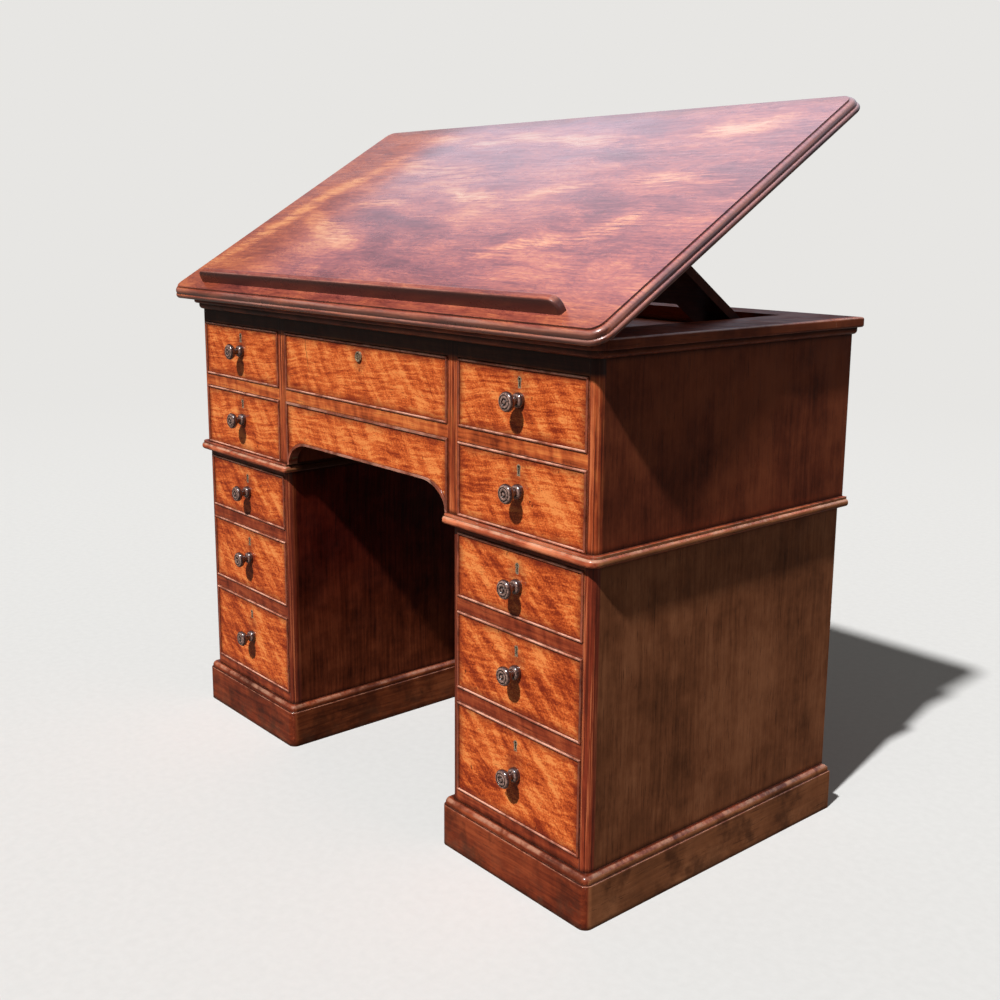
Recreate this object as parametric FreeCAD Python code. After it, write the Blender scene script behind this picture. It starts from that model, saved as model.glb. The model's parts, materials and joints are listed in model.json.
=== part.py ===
"""Twin-pedestal architect's desk with a rising writing slope on a folding prop.

The desk faces -Y, +X runs to the right along its front and +Z is up. It is drawn with X = 0 on the
middle of the desk, Y = 0 on the front face of the upper case and Z = 0 on the floor. Every shape is
then moved along Y, so that the origin is the middle of the desk's footprint on the floor.
"""
import FreeCAD, Part
import math
import os

V = FreeCAD.Vector

# Upper case
CASE_WIDTH = 1220.0
CASE_DEPTH = 634.0
SIDE_THICKNESS = 16.0
CORNER_RADIUS = 13.0
PARTITION_THICKNESS = 27.0
BACK_THICKNESS = 12.0
CASE_BOTTOM_THICKNESS = 18.0
TOP_RAIL_HEIGHT = 39.0
DUST_PANEL_THICKNESS = 6.0

# Pedestals stand a little inside the upper case on every face
PEDESTAL_SIDE_INSET = 5.0
PEDESTAL_FRONT_INSET = 3.0
PEDESTAL_BACK_INSET = 6.0
PEDESTAL_BOTTOM_THICKNESS = 21.0
PEDESTAL_TOP_THICKNESS = 10.0

# Plinths
PLINTH_HEIGHT = 75.0
PLINTH_THICKNESS = 24.0
PLINTH_PROJECTION = 14.0
PLINTH_BACK_PROJECTION = 6.0
PLINTH_CORNER_RADIUS = 15.0
PLINTH_ARRIS_RADIUS = 1.5
PLINTH_MOULDING_HEIGHT = 13.0
PLINTH_MOULDING_SETBACK = 3.0
PLINTH_OVOLO_RADIUS = 9.0

# Mouldings
WAIST_PROJECTION = 13.0
WAIST_INNER_PROJECTION = 5.0
WAIST_CORNER_RADIUS = 20.0
WAIST_INNER_CORNER_RADIUS = 8.0
WAIST_ROUND_RADIUS = 6.4
WAIST_FILLET_HEIGHT = 4.0
WAIST_FILLET_SETBACK = 4.0
BED_MOULDING_HEIGHT = 13.0
BED_MOULDING_PROJECTION = 10.0
BED_OVOLO_RADIUS = 8.5

# Drawer openings, from the lowest up
DRAWER_OPENING_WIDTH = 306.0
PEDESTAL_OPENING_HEIGHTS = (166.0, 140.0, 115.0)
UPPER_OPENING_HEIGHTS = (128.0, 115.0)
RAIL_HEIGHT = 24.0
RAIL_DEPTH = 45.0
RUNNER_WIDTH = 24.0

# Drawers
DRAWER_SIDE_GAP = 1.0
DRAWER_TOP_GAP = 1.4
RUNNER_GAP = 0.4
FRONT_THICKNESS = 20.0
BEAD_WIDTH = 4.0
BEAD_PROUD = 2.4
BEAD_ROUND_RADIUS = 1.6
DRAWER_BOARD_THICKNESS = 10.0
DRAWER_BOTTOM_THICKNESS = 6.0
DRAWER_BOTTOM_RAISE = 6.0
DRAWER_SIDE_DROP = 8.0
DRAWER_BACK_DROP = 14.0
DRAWER_END_CLEARANCE = 25.0

# Turned knobs
KNOB_PROJECTION = 33.0
KNOB_BASE_RADIUS = 13.0
KNOB_BASE_LIP = 2.0
KNOB_BASE_DEPTH = 10.0
KNOB_BASE_BELLY = 2.0
KNOB_NECK_RADIUS = 6.5
KNOB_NECK_LENGTH = 6.5
KNOB_HEAD_RADIUS = 16.5
KNOB_RIM_BELLY = 1.5
KNOB_RIM_THICKNESS = 7.5
KNOB_UNDERSIDE_BELLY = 1.0
KNOB_SHOULDER_DROP = 1.8
KNOB_SHOULDER_BELLY = 0.4
KNOB_GROOVE_WIDTH = 1.6
KNOB_GROOVE_DEPTH = 1.3
KNOB_RING_RADIUS = 10.0
KNOB_RING_WIDTH = 4.0
KNOB_RING_BELLY = 0.6
KNOB_BUTTON_RADIUS = 3.2
KNOB_BUTTON_RISE = 1.2
UPPER_KNOB_RISE = 4.5
PEDESTAL_KNOB_RISES = (2.0, 3.0, -3.0)
KNOB_SPIGOT_RADIUS = 6.0
KNOB_SPIGOT_LENGTH = 17.0
SPIGOT_CLEARANCE = 0.05

# Locks
LOCK_WIDTH = 50.0
LOCK_HEIGHT = 40.0
LOCK_THICKNESS = 11.0
LOCK_FIT = 0.1
UPPER_KEYHOLE_DROP = 19.5
PEDESTAL_KEYHOLE_DROP = 25.0
KEYHOLE_RADIUS = 2.6
KEYHOLE_SLOT_WIDTH = 2.8
KEYHOLE_LENGTH = 12.0
LINING_WALL = 2.2
LINING_DEPTH = 4.0
BOSS_RADIUS = 10.0
BOSS_PROUD = 3.5
BOSS_RIM = 2.5
BOSS_DROP = 24.0

# Kneehole apron
APRON_THICKNESS = 18.0
ARCH_RISE = 47.0
ARCH_CORNER_WIDTH = 68.0
ARCH_FOOT_WIDTH = 6.0

# Fixed top and its well
TOP_THICKNESS = 18.0
TOP_OVERHANG = 20.0
TOP_BACK_OVERHANG = 4.0
TOP_EDGE_RADIUS = 4.0
WELL_SIDE_MARGIN = 95.0
WELL_FRONT = 60.0
WELL_BACK_MARGIN = 79.0
WELL_DEPTH = 28.0
WELL_FLOOR_THICKNESS = 8.0
WELL_LINING_THICKNESS = 14.0

# Writing slope
SLOPE_ANGLE = 31.0
SLOPE_SIDE_OVERHANG = 51.0
SLOPE_FRONT_OVERHANG = 20.0
SLOPE_BACK_OVERHANG = 22.0
SLOPE_CORNER_RADIUS = 32.0
SLOPE_EDGE_THICKNESS = 21.0
SLOPE_BEAD_THICKNESS = 10.0
SLOPE_BEAD_RADIUS = 4.6
SLOPE_THUMB_SETBACK = 3.5
SLOPE_THUMB_RADIUS = 9.0
SLOPE_FIELD_INSET = 13.0
SLOPE_FIELD_RISE = 3.0
SLOPE_GAP = 0.4
LEDGE_END_MARGIN = 105.0
LEDGE_HEIGHT = 27.0
LEDGE_THICKNESS = 16.0
LEDGE_SETBACK = 36.0
LEDGE_ROUND_RADIUS = 4.0
LEDGE_END_RADIUS = 20.0

# Hinges
HINGE_LENGTH = 64.0
HINGE_LEAF_LENGTH = 34.0
HINGE_LEAF_THICKNESS = 2.0
HINGE_PIN_RADIUS = 2.0
HINGE_RUNNING_CLEARANCE = 0.05
HINGE_KNUCKLE_GAP = 0.4
HINGE_RECESS_GAP = 0.6
SLOPE_KNUCKLE_RADIUS = 4.6
SLOPE_AXIS_AHEAD = 5.0
SLOPE_HINGE_COUNT = 4
SLOPE_HINGE_END_MARGIN = 124.0
PROP_KNUCKLE_RADIUS = 4.0
PROP_HINGE_COUNT = 3
PROP_HINGE_END_MARGIN = 152.0

# Prop, measured from its hinge under the slope
PROP_PLACE = 292.0
PROP_SIDE_CLEARANCE = 3.0
PROP_BACK_CLEARANCE = 12.0
PROP_THICKNESS = 16.0
PROP_SLOPE_GAP = 2.0
PROP_AXIS_DEPTH = 3.5
PROP_HEEL_CLEARANCE = 6.0
PROP_FOOT_WIDTH = 95.0
PROP_FOOT_LENGTH = 65.0

# Racks under the prop's feet
RACK_WIDTH = 60.0
RACK_TOOTH_COUNT = 8
RACK_TOOTH_PITCH = 21.0
RACK_TOOTH_DEPTH = 5.0
RACK_FOOT_CLEARANCE = 1.7

# Places worked out from the sizes above
case_half = CASE_WIDTH / 2
bay_outer = case_half - SIDE_THICKNESS
bay_inner = bay_outer - DRAWER_OPENING_WIDTH
knee_half = bay_inner - PARTITION_THICKNESS
case_inner_back = CASE_DEPTH - BACK_THICKNESS

pedestal_outer = case_half - PEDESTAL_SIDE_INSET
pedestal_bay_outer = pedestal_outer - SIDE_THICKNESS
pedestal_bay_inner = pedestal_bay_outer - DRAWER_OPENING_WIDTH
pedestal_inner = pedestal_bay_inner - SIDE_THICKNESS
pedestal_front = PEDESTAL_FRONT_INSET
pedestal_back = CASE_DEPTH - PEDESTAL_BACK_INSET
pedestal_inner_back = pedestal_back - BACK_THICKNESS
pedestal_first_opening = PLINTH_HEIGHT + PLINTH_MOULDING_HEIGHT + PEDESTAL_BOTTOM_THICKNESS


def opening_rows(first_bottom, heights):
    """Give the bottom and top of each drawer opening in a bank, from the lowest up."""
    rows = []
    bottom = first_bottom
    for height in heights:
        rows.append((bottom, bottom + height))
        bottom += height + RAIL_HEIGHT
    return rows


pedestal_rows = opening_rows(pedestal_first_opening, PEDESTAL_OPENING_HEIGHTS)
pedestal_top = pedestal_rows[-1][1] + PEDESTAL_TOP_THICKNESS
case_bottom = pedestal_top
upper_rows = opening_rows(case_bottom + CASE_BOTTOM_THICKNESS, UPPER_OPENING_HEIGHTS)
case_top = upper_rows[-1][1] + TOP_RAIL_HEIGHT
top_surface = case_top + TOP_THICKNESS
top_front = -TOP_OVERHANG
top_back = CASE_DEPTH + TOP_BACK_OVERHANG
well_floor = top_surface - WELL_DEPTH
well_half = case_half - WELL_SIDE_MARGIN
well_back = CASE_DEPTH - WELL_BACK_MARGIN

slope_axis_y = top_front - SLOPE_AXIS_AHEAD
slope_axis_z = top_surface + SLOPE_GAP / 2
slope_underside = top_surface + SLOPE_GAP
slope_front = slope_axis_y - SLOPE_FRONT_OVERHANG
slope_back = top_back + SLOPE_BACK_OVERHANG
slope_half = case_half + SLOPE_SIDE_OVERHANG
ledge_half = slope_half - LEDGE_END_MARGIN
slope_face = slope_underside + SLOPE_EDGE_THICKNESS + SLOPE_FIELD_RISE
prop_axis_y = slope_axis_y + PROP_PLACE
prop_axis_z = slope_underside - PROP_AXIS_DEPTH
prop_top = slope_underside - PROP_SLOPE_GAP
prop_foot_radius = PROP_THICKNESS / 2
prop_foot_z = prop_top - prop_foot_radius
prop_half = well_half - PROP_SIDE_CLEARANCE
prop_length = well_back - PROP_BACK_CLEARANCE - prop_foot_radius - prop_axis_y


def even_places(count, end):
    """Give places spaced evenly along X, from one end to the other."""
    return [end * (2 * index / (count - 1) - 1) for index in range(count)]


slope_hinge_places = even_places(SLOPE_HINGE_COUNT, case_half - SLOPE_HINGE_END_MARGIN)
prop_hinge_places = even_places(PROP_HINGE_COUNT, prop_half - PROP_HINGE_END_MARGIN)


def prop_turn():
    """Work out the prop's turn in degrees, from flat under the shut slope to its rest lean."""
    tilt = math.radians(SLOPE_ANGLE)
    along = prop_axis_y - slope_axis_y
    above = prop_axis_z - slope_axis_z
    axis_rise = along * math.sin(tilt) + above * math.cos(tilt) - above
    shut_drop = prop_axis_z - prop_foot_z
    rest_lean = math.degrees(math.asin((axis_rise + shut_drop) / prop_length))
    shut_lean = math.degrees(math.asin(shut_drop / prop_length))
    return SLOPE_ANGLE + rest_lean - shut_lean


def box(x0, x1, y0, y1, z0, z1):
    """Make a plain board between two corners."""
    return Part.makeBox(x1 - x0, y1 - y0, z1 - z0, V(x0, y0, z0))


def corner_block(x0, x1, y0, y1, z0, z1, radii):
    """Make a board with its four upright corners rounded.

    The radii run front left, front right, back right, back left, and 0 leaves a corner square.
    """
    corners = (V(x0, y0, z0), V(x1, y0, z0), V(x1, y1, z0), V(x0, y1, z0))
    ways = (V(1, 0, 0), V(0, 1, 0), V(-1, 0, 0), V(0, -1, 0))
    starts = []
    ends = []
    arcs = []
    for index, corner in enumerate(corners):
        way_in = ways[index - 1]
        way_out = ways[index]
        radius = radii[index]
        start = corner - way_in * radius
        end = corner + way_out * radius
        centre = start + way_out * radius
        middle = centre + (way_in - way_out) * (radius * math.sqrt(0.5))
        starts.append(start)
        ends.append(end)
        arcs.append(Part.Arc(start, middle, end).toShape() if radius else None)
    edges = []
    for index in range(len(corners)):
        if arcs[index]:
            edges.append(arcs[index])
        following = (index + 1) % len(corners)
        edges.append(Part.LineSegment(ends[index], starts[following]).toShape())
    face = Part.Face(Part.Wire(edges))
    return face.extrude(V(0, 0, z1 - z0))


def level_edges(shape, z, back=None):
    """Pick the edges that lie at a height, leaving out those along the plane Y = back."""
    picked = []
    for edge in shape.Edges:
        bounds = edge.BoundBox
        level = abs(bounds.ZMin - z) < 1e-4 and abs(bounds.ZMax - z) < 1e-4
        at_back = back is not None and abs(bounds.YMin - back) < 1e-4
        if level and not at_back:
            picked.append(edge)
    return picked


def prism(points, z0, z1):
    """Raise a plan outline from one height to another."""
    outline = Part.makePolygon([V(x, y, z0) for x, y in points + points[:1]])
    return Part.Face(outline).extrude(V(0, 0, z1 - z0))


def bar(points, x0, x1):
    """Draw an outline given in Y and Z out along X."""
    outline = Part.makePolygon([V(x0, y, z) for y, z in points + points[:1]])
    return Part.Face(outline).extrude(V(x1 - x0, 0, 0))


def rod(x0, x1, y, z, radius):
    """Make a round bar along X."""
    return Part.makeCylinder(radius, x1 - x0, V(x0, y, z), V(1, 0, 0))


def mirrored(shapes):
    """Mirror shapes to the other side of the desk."""
    return [shape.mirror(V(0, 0, 0), V(1, 0, 0)) for shape in shapes]


def mitred_lengths(ring, x0, x1, y0, y1, has_back):
    """Cut a ring of moulding into its mitred lengths: front, right, left and perhaps back."""
    bounds = ring.BoundBox
    reach = min(x1 - x0, y1 - y0) / 2
    far = y1 - reach if has_back else y1
    front = [(x0, y0), (x1, y0), (x1 - reach, y0 + reach), (x0 + reach, y0 + reach)]
    right = [(x1, y0), (x1, y1), (x1 - reach, far), (x1 - reach, y0 + reach)]
    left = [(x0, y0), (x0 + reach, y0 + reach), (x0 + reach, far), (x0, y1)]
    wedges = [front, right, left]
    if has_back:
        wedges.append([(x0, y1), (x0 + reach, far), (x1 - reach, far), (x1, y1)])
    return [ring.common(prism(wedge, bounds.ZMin, bounds.ZMax)) for wedge in wedges]


def rail_and_runners(x0, x1, y0, y1, z0):
    """Make the front rail between two drawers and the runners that carry the upper one."""
    z1 = z0 + RAIL_HEIGHT
    rail_back = y0 + RAIL_DEPTH
    return [
        box(x0, x1, y0, rail_back, z0, z1),
        box(x0, x0 + RUNNER_WIDTH, rail_back, y1, z0, z1),
        box(x1 - RUNNER_WIDTH, x1, rail_back, y1, z0, z1),
    ]


def pedestal_carcass():
    """Make the right pedestal's boards."""
    z0 = PLINTH_HEIGHT
    first = pedestal_first_opening
    inner = (CORNER_RADIUS, 0, 0, 0)
    outer = (0, CORNER_RADIUS, 0, 0)
    solids = [
        corner_block(pedestal_inner, pedestal_bay_inner, pedestal_front, pedestal_back, z0, pedestal_top,
                     inner),
        corner_block(pedestal_bay_outer, pedestal_outer, pedestal_front, pedestal_back, z0, pedestal_top,
                     outer),
        box(pedestal_bay_inner, pedestal_bay_outer, pedestal_inner_back, pedestal_back, z0, pedestal_top),
        box(pedestal_bay_inner, pedestal_bay_outer, pedestal_front, pedestal_inner_back,
            first - PEDESTAL_BOTTOM_THICKNESS, first),
        box(pedestal_bay_inner, pedestal_bay_outer, pedestal_front, pedestal_inner_back,
            pedestal_top - PEDESTAL_TOP_THICKNESS, pedestal_top),
    ]
    for _, opening_top in pedestal_rows[:-1]:
        solids += rail_and_runners(pedestal_bay_inner, pedestal_bay_outer, pedestal_front,
                                   pedestal_inner_back, opening_top)
    return solids


def pedestal_plinth():
    """Make the right pedestal's plinth: four mitred boards, each with an ovolo length on top."""
    out = PLINTH_PROJECTION
    x0 = pedestal_inner - out
    x1 = pedestal_outer + out
    y0 = pedestal_front - out
    y1 = pedestal_back + PLINTH_BACK_PROJECTION
    radius = PLINTH_CORNER_RADIUS
    inside = PLINTH_THICKNESS
    board = corner_block(x0, x1, y0, y1, 0, PLINTH_HEIGHT, (radius, radius, 0, 0))
    board = board.makeFillet(PLINTH_ARRIS_RADIUS, level_edges(board, PLINTH_HEIGHT))
    board = board.cut(box(x0 + inside, x1 - inside, y0 + inside, y1 - inside, 0, PLINTH_HEIGHT))
    z1 = PLINTH_HEIGHT + PLINTH_MOULDING_HEIGHT
    back = PLINTH_MOULDING_SETBACK
    moulding = corner_block(x0 + back, x1 - back, y0 + back, y1 - back, PLINTH_HEIGHT, z1,
                            (radius - back, radius - back, 0, 0))
    moulding = moulding.makeFillet(PLINTH_OVOLO_RADIUS, level_edges(moulding, z1))
    body_round = (CORNER_RADIUS, CORNER_RADIUS, 0, 0)
    moulding = moulding.cut(corner_block(pedestal_inner, pedestal_outer, pedestal_front, pedestal_back,
                                         PLINTH_HEIGHT, z1, body_round))
    return mitred_lengths(board, x0, x1, y0, y1, True) + mitred_lengths(moulding, x0, x1, y0, y1, True)


def upper_case_side_bay():
    """Make the boards of the upper case on the right of the kneehole."""
    outer = (0, CORNER_RADIUS, 0, 0)
    bay_bottom = upper_rows[0][0]
    partition_top = upper_rows[-1][1]
    centre_rail = upper_rows[0][1]
    solids = [
        corner_block(bay_outer, case_half, 0, CASE_DEPTH, case_bottom, case_top, outer),
        box(knee_half, bay_inner, 0, case_inner_back, case_bottom, partition_top),
        box(bay_inner, bay_outer, 0, case_inner_back, case_bottom, bay_bottom),
        box(knee_half, bay_outer, case_inner_back, CASE_DEPTH, case_bottom, centre_rail),
    ]
    for _, opening_top in upper_rows[:-1]:
        solids += rail_and_runners(bay_inner, bay_outer, 0, case_inner_back, opening_top)
    return solids


def upper_case_centre():
    """Make the boards of the upper case that run across its middle."""
    rail_bottom = upper_rows[0][1]
    opening_top = upper_rows[-1][1]
    arch_top = upper_rows[0][0] + ARCH_RISE
    dust_top = rail_bottom + DUST_PANEL_THICKNESS
    solids = rail_and_runners(-knee_half, knee_half, 0, case_inner_back, rail_bottom)
    return solids + [
        box(-knee_half + RUNNER_WIDTH, knee_half - RUNNER_WIDTH, RAIL_DEPTH, case_inner_back, rail_bottom,
            dust_top),
        box(-bay_outer, bay_outer, 0, RAIL_DEPTH, opening_top, case_top),
        box(-bay_outer, bay_outer, case_inner_back, CASE_DEPTH, rail_bottom, case_top),
        box(-knee_half, knee_half, case_inner_back, CASE_DEPTH, arch_top, rail_bottom),
    ]


def arch_opening(spread):
    """Make the space under the apron, with its top corners quarter ellipses, widened by a spread."""
    foot_z = upper_rows[0][0]
    half = knee_half - ARCH_FOOT_WIDTH + spread
    top = foot_z + ARCH_RISE + spread
    wide = ARCH_CORNER_WIDTH
    spring = top - ARCH_RISE
    low = foot_z - BEAD_WIDTH
    arcs = []
    for side, start in ((1, 0.0), (-1, math.pi / 2)):
        centre = V(side * (half - wide), 0, spring)
        ellipse = Part.Ellipse(V(centre.x + wide, 0, spring), V(centre.x, 0, top), centre)
        arcs.append(ellipse.toShape(start, start + math.pi / 2))
    corners = [V(half, 0, spring), V(half, 0, low), V(-half, 0, low), V(-half, 0, spring)]
    sides = [Part.LineSegment(corners[index], corners[index + 1]).toShape() for index in range(3)]
    level = Part.LineSegment(V(half - wide, 0, top), V(wide - half, 0, top)).toShape()
    outline = Part.Wire(Part.__sortEdges__(arcs + sides + [level]))
    return Part.Face(outline)


def kneehole_apron():
    """Make the panel over the kneehole, a level board between two arched corners, and its beads."""
    z0, z1 = upper_rows[0]
    deep = V(0, APRON_THICKNESS, 0)
    bead_deep = V(0, APRON_THICKNESS + BEAD_PROUD, 0)
    wide_arch = arch_opening(BEAD_WIDTH)
    inner = knee_half - BEAD_WIDTH
    level = knee_half - ARCH_FOOT_WIDTH - ARCH_CORNER_WIDTH
    arch_top = z0 + ARCH_RISE
    arch_bead = wide_arch.cut(arch_opening(0)).extrude(bead_deep)
    arch_bead.translate(V(0, -BEAD_PROUD, 0))
    corner_panel = box(level, inner, 0, APRON_THICKNESS, z0, z1 - BEAD_WIDTH).cut(wide_arch.extrude(deep))
    corner_bead = arch_bead.common(box(level, inner, -BEAD_PROUD, APRON_THICKNESS, z0, z1))
    side_bead = box(inner, knee_half, -BEAD_PROUD, APRON_THICKNESS, z0, z1 - BEAD_WIDTH)
    ends = [corner_panel, corner_bead, side_bead]
    return ends + mirrored(ends) + [
        box(-level, level, 0, APRON_THICKNESS, arch_top + BEAD_WIDTH, z1 - BEAD_WIDTH),
        box(-level, level, -BEAD_PROUD, APRON_THICKNESS, arch_top, arch_top + BEAD_WIDTH),
        box(-knee_half, knee_half, -BEAD_PROUD, APRON_THICKNESS, z1 - BEAD_WIDTH, z1),
    ]


def waist_moulding():
    """Make the right-hand lengths of the moulding round the waist, a half round under a fillet."""
    x0 = knee_half - WAIST_INNER_PROJECTION
    x1 = case_half + WAIST_PROJECTION
    y0 = -WAIST_PROJECTION
    z1 = case_bottom + CASE_BOTTOM_THICKNESS
    round_top = z1 - WAIST_FILLET_HEIGHT
    back = WAIST_FILLET_SETBACK
    inner = WAIST_INNER_CORNER_RADIUS
    outer = WAIST_CORNER_RADIUS
    ring = corner_block(x0, x1, y0, CASE_DEPTH, case_bottom, round_top, (inner, outer, 0, 0))
    edges = level_edges(ring, case_bottom, CASE_DEPTH) + level_edges(ring, round_top, CASE_DEPTH)
    ring = ring.makeFillet(WAIST_ROUND_RADIUS, edges)
    ring = ring.fuse(corner_block(x0 + back, x1 - back, y0 + back, CASE_DEPTH, round_top, z1,
                                  (inner - back, outer - back, 0, 0)))
    body_round = (0, CORNER_RADIUS, 0, 0)
    ring = ring.cut(corner_block(knee_half, case_half, 0, CASE_DEPTH, case_bottom, z1, body_round))
    return mitred_lengths(ring, x0, x1, y0, CASE_DEPTH, False)


def cornice_moulding():
    """Make the mitred lengths of bed moulding under the fixed top."""
    half = case_half + BED_MOULDING_PROJECTION
    y0 = -BED_MOULDING_PROJECTION
    z0 = case_top - BED_MOULDING_HEIGHT
    corner = CORNER_RADIUS + BED_MOULDING_PROJECTION
    ring = corner_block(-half, half, y0, CASE_DEPTH, z0, case_top, (corner, corner, 0, 0))
    ring = ring.makeFillet(BED_OVOLO_RADIUS, level_edges(ring, z0, CASE_DEPTH))
    body_round = (CORNER_RADIUS, CORNER_RADIUS, 0, 0)
    ring = ring.cut(corner_block(-case_half, case_half, 0, CASE_DEPTH, z0, case_top, body_round))
    return mitred_lengths(ring, -half, half, y0, CASE_DEPTH, False)


def fixed_top():
    """Make the fixed top: four frame boards round the well, its linings and its floor."""
    half = case_half + TOP_OVERHANG
    corner = CORNER_RADIUS + TOP_OVERHANG
    slab = corner_block(-half, half, top_front, top_back, case_top, top_surface, (corner, corner, 0, 0))
    slab = slab.makeFillet(TOP_EDGE_RADIUS, level_edges(slab, case_top) + level_edges(slab, top_surface))
    spans = (
        (-half, half, top_front, WELL_FRONT),
        (-half, half, well_back, top_back),
        (-half, -well_half, WELL_FRONT, well_back),
        (well_half, half, WELL_FRONT, well_back),
    )
    boards = [slab.common(box(*span, case_top, top_surface)) for span in spans]
    for place in slope_hinge_places:
        boards[0] = boards[0].cut(leaf_plate(place, slope_axis_y, top_surface - HINGE_LEAF_THICKNESS))
    z0 = well_floor - WELL_FLOOR_THICKNESS
    wall = WELL_LINING_THICKNESS
    wide = well_half
    return boards + [
        box(-wide, wide, WELL_FRONT, well_back, z0, well_floor),
        box(-wide - wall, -wide, WELL_FRONT, well_back, z0, case_top),
        box(wide, wide + wall, WELL_FRONT, well_back, z0, case_top),
        box(-wide - wall, wide + wall, WELL_FRONT - wall, WELL_FRONT, z0, case_top),
        box(-wide - wall, wide + wall, well_back, well_back + wall, z0, case_top),
    ]


def prop_racks():
    """Make the two notched racks on the floor of the well."""
    tip = prop_foot_z - prop_foot_radius - RACK_FOOT_CLEARANCE
    root = tip - RACK_TOOTH_DEPTH
    length = RACK_TOOTH_COUNT * RACK_TOOTH_PITCH
    end = prop_axis_y + prop_length
    outline = [(end, well_floor), (end, root)]
    for tooth in range(RACK_TOOTH_COUNT):
        y = end - tooth * RACK_TOOTH_PITCH
        outline.append((y - RACK_TOOTH_PITCH, tip))
        outline.append((y - RACK_TOOTH_PITCH, root))
    outline[-1] = (end - length, well_floor)
    middle = prop_half - PROP_FOOT_WIDTH / 2
    rack = bar(outline, middle - RACK_WIDTH / 2, middle + RACK_WIDTH / 2)
    return [rack] + mirrored([rack])


def leaf_plate(x, axis_y, z):
    """Make one hinge leaf's plate, running back from its hinge axis."""
    half = HINGE_LENGTH / 2
    return box(x - half, x + half, axis_y, axis_y + HINGE_LEAF_LENGTH, z, z + HINGE_LEAF_THICKNESS)


def knuckle(x0, x1, axis_y, axis_z, radius):
    """Make one bored hinge knuckle."""
    bore = rod(x0, x1, axis_y, axis_z, HINGE_PIN_RADIUS + HINGE_RUNNING_CLEARANCE)
    return rod(x0, x1, axis_y, axis_z, radius).cut(bore)


def hinge_leaf(x, axis_y, axis_z, plate_z, radius, spans):
    """Make one hinge leaf with its knuckles, cut clear of the other leaf's knuckles."""
    half = HINGE_LENGTH / 2
    plate = leaf_plate(x, axis_y, plate_z)
    plate = plate.cut(rod(x - half, x + half, axis_y, axis_z, radius + HINGE_KNUCKLE_GAP))
    leaf = plate
    for start, end in spans:
        strap = box(x + start, x + end, axis_y, axis_y + radius + 2 * HINGE_KNUCKLE_GAP, plate_z,
                    plate_z + HINGE_LEAF_THICKNESS)
        barrel = knuckle(x + start, x + end, axis_y, axis_z, radius)
        strap = strap.cut(rod(x - half, x + half, axis_y, axis_z, HINGE_PIN_RADIUS + HINGE_RUNNING_CLEARANCE))
        leaf = leaf.fuse(strap).fuse(barrel)
    return leaf.removeSplitter()


def knuckle_spans():
    """Give the outer pair and the middle knuckle's spans along one hinge."""
    half = HINGE_LENGTH / 2
    third = half / 3
    gap = HINGE_KNUCKLE_GAP / 2
    outer = [(-half, -third - gap), (third + gap, half)]
    middle = [(-third + gap, third - gap)]
    return outer, middle


def hinge_pin(x, axis_y, axis_z):
    """Make one hinge pin, as long as its hinge."""
    half = HINGE_LENGTH / 2
    return rod(x - half, x + half, axis_y, axis_z, HINGE_PIN_RADIUS)


def slope_block(inset, z1):
    """Make the slope's plain board up to a height, drawn in from its edge by an inset."""
    half = slope_half - inset
    corners = (SLOPE_CORNER_RADIUS - inset,) * 4
    return corner_block(-half, half, slope_front + inset, slope_back - inset, slope_underside, z1, corners)


def slope_board():
    """Make the shut writing slope: a board with a bead and a thumb round its edge and a raised field."""
    z0 = slope_underside
    bead_top = z0 + SLOPE_BEAD_THICKNESS
    thumb_top = z0 + SLOPE_EDGE_THICKNESS
    bead = slope_block(0, bead_top)
    bead = bead.makeFillet(SLOPE_BEAD_RADIUS, level_edges(bead, z0) + level_edges(bead, bead_top))
    thumb = slope_block(SLOPE_THUMB_SETBACK, thumb_top)
    thumb = thumb.makeFillet(SLOPE_THUMB_RADIUS, level_edges(thumb, thumb_top))
    field = slope_block(SLOPE_FIELD_INSET, slope_face)
    board = bead.fuse(thumb).fuse(field).removeSplitter()
    room = SLOPE_KNUCKLE_RADIUS + HINGE_RECESS_GAP
    for place in slope_hinge_places:
        x0 = place - HINGE_LENGTH / 2 - HINGE_RECESS_GAP
        x1 = place + HINGE_LENGTH / 2 + HINGE_RECESS_GAP
        board = board.cut(leaf_plate(place, slope_axis_y, z0))
        board = board.cut(rod(x0, x1, slope_axis_y, slope_axis_z, room))
    room = PROP_KNUCKLE_RADIUS + HINGE_RECESS_GAP
    for place in prop_hinge_places:
        x0 = place - HINGE_LENGTH / 2 - HINGE_RECESS_GAP
        x1 = place + HINGE_LENGTH / 2 + HINGE_RECESS_GAP
        board = board.cut(leaf_plate(place, prop_axis_y - HINGE_LEAF_LENGTH, z0))
        board = board.cut(rod(x0, x1, prop_axis_y, prop_axis_z, room))
    return [board]


def book_ledge():
    """Make the ledge that stops papers sliding off the slope."""
    y0 = slope_front + LEDGE_SETBACK
    z1 = slope_face + LEDGE_HEIGHT
    ledge = box(-ledge_half, ledge_half, y0, y0 + LEDGE_THICKNESS, slope_face, z1)
    ends = [edge for edge in level_edges(ledge, z1) if edge.BoundBox.XLength < 1e-4]
    ledge = ledge.makeFillet(LEDGE_END_RADIUS, ends)
    long_edges = [edge for edge in level_edges(ledge, z1) if edge.BoundBox.XLength > LEDGE_END_RADIUS]
    return [ledge.makeFillet(LEDGE_ROUND_RADIUS, long_edges)]


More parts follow.
